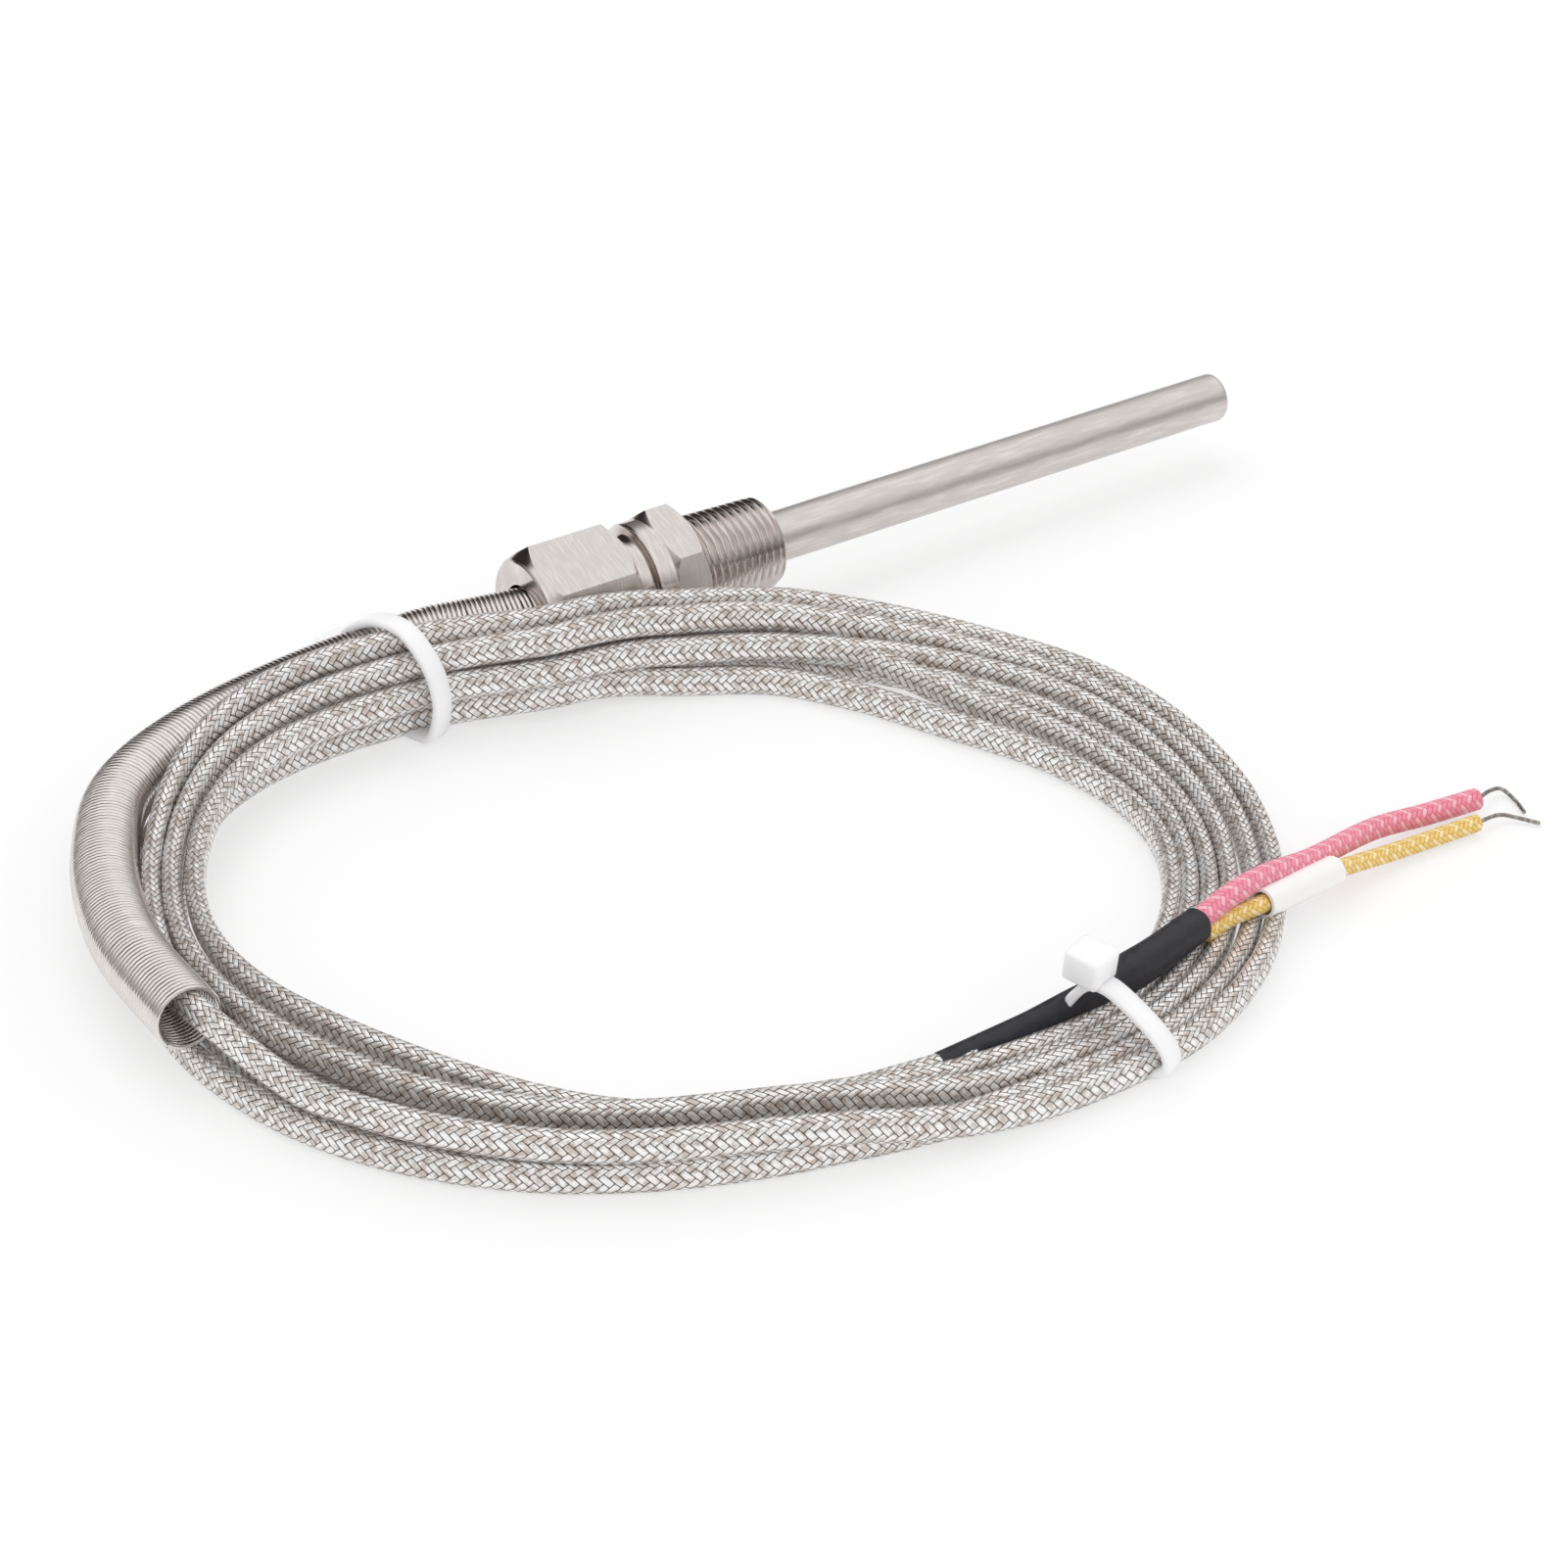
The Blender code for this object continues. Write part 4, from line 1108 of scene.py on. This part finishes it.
def make_room():
    """White surroundings; gloss also sees them darken towards the bench, and a dark flag."""
    world = bpy.data.worlds.new("studio")
    bpy.context.scene.world = world
    world.use_nodes = True
    tree = world.node_tree
    toward = node(tree, "ShaderNodeTexCoord").outputs["Generated"]
    parts = node(tree, "ShaderNodeSeparateXYZ", {"Vector": toward})
    room = node(tree, "ShaderNodeValToRGB", {"Fac": parts.outputs["Z"]}, ROOM_STOPS)
    flag = turned(FLAG_TOWARD, TO_ROW)
    nearness = node(tree, VECTOR_MATH, {0: toward, 1: flag}, operation="DOT_PRODUCT")
    dark = node(
        tree,
        "ShaderNodeMapRange",
        {"Value": nearness.outputs["Value"], "From Min": FLAG_EDGE[0], "From Max": FLAG_EDGE[1]},
    )
    gloss = node(tree, MIX, {"Factor": dark, COLOR_A: room, COLOR_B: FLAG_DARK}, data_type="RGBA")
    rays = node(tree, "ShaderNodeLightPath").outputs
    inputs = {"Factor": rays["Is Glossy Ray"], COLOR_A: ROOM_LIGHT, COLOR_B: gloss.outputs[COLOR_RESULT]}
    seen = node(tree, MIX, inputs, data_type="RGBA")
    feed(tree, tree.nodes["Background"], {"Color": seen.outputs[COLOR_RESULT], "Strength": 1.0})


def place_lamps():
    """Soft lamps over the bench, kept out of the gloss."""
    middle = on_bench(VIEW_TARGET)
    for name, offset, size, power in LAMPS:
        data = bpy.data.lights.new(name, "AREA")
        data.size = size
        data.energy = power
        lamp = add_object(name, data)
        lamp.location = middle + turned(offset, TO_ROW)
        lamp.rotation_mode = "QUATERNION"
        lamp.rotation_quaternion = (middle - lamp.location).to_track_quat("-Z", "Y")
        lamp.visible_glossy = False


place_camera()
cable, cable_route = make_cable()

# Drawn stainless spring wire: bright, so that each turn carries its own thin highlight.
spring_steel = metal("bright_spring_wire", "#E2DCD8", 0.2, (0.8, 0.8, 0.8), 0.003)
# Stainless steel from the lathe: mirror-like, with marks 0.4 mm apart along the axis and long round it.
turned_steel = metal("turned_stainless", "#D0C8C4", 0.16, (2.4, 0.36, 0.36), 0.006)
# Drawn stainless tube: satin, with streaks 4 mm long and 0.5 mm wide that soften its one highlight.
satin_steel = metal("satin_stainless_tube", "#D3CDC9", 0.4, (0.24, 2.0, 2.0), 0.006)
# Stainless flats from the mill: pale and dull, with cutter lines 0.2 mm apart across the axis.
milled_steel = metal("milled_stainless_flats", "#D4CECA", 0.36, (4.8, 0.48, 0.48), 0.012)
# Thermocouple alloy wire, drawn and aged: a grey, half-dull metal.
bare_alloy = metal("bare_alloy_wire", "#8F8780", 0.35, (2.0, 2.0, 2.0), 0.004)
# Moulded natural nylon: milky, with light passing a millimetre into it.
nylon = plastic("natural_nylon", "#F6F5F7", 0.34, 0.8, 0.02, 0.5)
# Shrunk polyolefin sleeve: soft black with dents about 2 mm wide where it has drawn tight.
shrink_black = plastic("black_shrink_sleeve", "#222228", 0.5, 0.45, 0.45)
# Extruded white vinyl tube: even and half-matt.
marker_white = plastic("white_marker_sleeve", "#F4F2F1", 0.4, 0.8, 0.01)
# Braided glass fibre, dyed red and dyed yellow: matt and slightly fuzzy. The second colour of each is the
# tracer yarns' paler tint, which reaches a painted highlight on the ribbon tops; the third is painted
# shade for the gaps.
red_glass = glass_braid("red_glass_sleeve", "#F592A5", "#F9BAC5", "#E56C88")
yellow_glass = glass_braid("yellow_glass_sleeve", "#F4D076", "#FAE5AE", "#DFA845")

# The pieces inside keep their CAD shapes: turned brass, cast potting resin, a raw weld bead, drawn
# alloy wires, tinned copper that was crimped, and fired alumina, which is matt and off-white.
brass = metal("brass_ferrule", "#C9A75E", 0.28, (1.5, 1.5, 1.5), 0.004)
potting = plastic("potting_compound", "#6B4A34", 0.55, 1.4, 0.03)
weld = metal("junction_weld_bead", "#8D8681", 0.4, (2.5, 2.5, 2.5), 0.02)
positive_alloy = metal("nickel_chromium_wire", "#A39B94", 0.3, (2.0, 2.0, 2.0), 0.003)
negative_alloy = metal("nickel_aluminium_wire", "#B2ADA8", 0.3, (2.0, 2.0, 2.0), 0.003)
tinned_copper = metal("tinned_copper_splice", "#BDBAB4", 0.32, (2.0, 2.0, 2.0), 0.01)
ceramic = plastic("alumina_ceramic", "#EFE6D8", 0.6, 2.2, 0.02)
for name, material in (
    ("compression_ferrule", brass),
    ("sealing_plug", potting),
    ("hot_junction", weld),
    ("thermo_wire_positive", positive_alloy),
    ("thermo_wire_negative", negative_alloy),
    ("crimp_splice_positive", tinned_copper),
    ("crimp_splice_negative", tinned_copper),
    ("insulator_bead_1", ceramic),
    ("insulator_bead_2", ceramic),
    ("insulator_bead_3", ceramic),
    ("insulator_bead_4", ceramic),
    ("insulator_bead_5", ceramic),
):
    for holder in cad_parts[name].material_slots:
        holder.material = material

spring = make_spring(spring_steel)
fitting = hex_piece("hex_fitting", FITTING_PROFILE, turned_steel, milled_steel, FITTING_EDGE)
thread = add_piece("male_thread", thread_mesh("male_thread"), turned_steel)
nut = hex_piece("hex_nut", NUT_PROFILE, turned_steel, milled_steel, NUT_EDGE)
sheath = make_sheath(satin_steel)
shrink = make_shrink(shrink_black)
red, red_route = make_lead("red_lead", RED_ROUTE, RED_RADIUS, red_glass)
yellow, yellow_route = make_lead("yellow_lead", YELLOW_ROUTE, YELLOW_RADIUS, yellow_glass)
bare_red = make_lead("red_lead_wire", BARE_RED_ROUTE, BARE_RADIUS, bare_alloy)[0]
bare_yellow = make_lead("yellow_lead_wire", BARE_YELLOW_ROUTE, BARE_RADIUS, bare_alloy)[0]
marker = make_marker(marker_white)
back_tie, back_head = make_tie("back_tie", BACK_RING, BACK_ANGLE, BACK_HEAD, BACK_HEAD_TURN, nylon)
front_tie, front_head = make_tie("front_tie", FRONT_RING, FRONT_ANGLE, FRONT_HEAD, FRONT_HEAD_TURN, nylon)

for piece, nodes, slot in (
    (cable, ("cable_coil", "cable_lead"), "braid_steel"),
    (spring, ("strain_relief_spring",), "spring_steel"),
    (fitting, ("threaded_body",), "fitting_steel"),
    (thread, (), "fitting_steel"),
    (nut, ("clamp_nut",), "nut_steel"),
    (sheath, ("sheath",), "sheath_steel"),
    (shrink, ("heat_shrink",), "shrink_black"),
    (red, ("lead_red",), "lead_red"),
    (yellow, ("lead_yellow",), "lead_yellow"),
    (bare_red, ("bare_wire_red",), "bare_wire"),
    (bare_yellow, ("bare_wire_yellow",), "bare_wire"),
    (marker, ("marker_sleeve",), "marker_white"),
    (back_tie, ("cable_tie_back",), "tie_nylon"),
    (front_tie, ("cable_tie_front",), "tie_nylon"),
    (back_head, (), "tie_nylon"),
    (front_head, (), "tie_nylon"),
):
    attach(piece, "root")
    if nodes:
        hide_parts(*nodes)

make_bench()
make_room()
place_lamps()

on_bench(on_axis(NUT_REAR))

bpy.context.scene.view_settings.view_transform = "Standard"
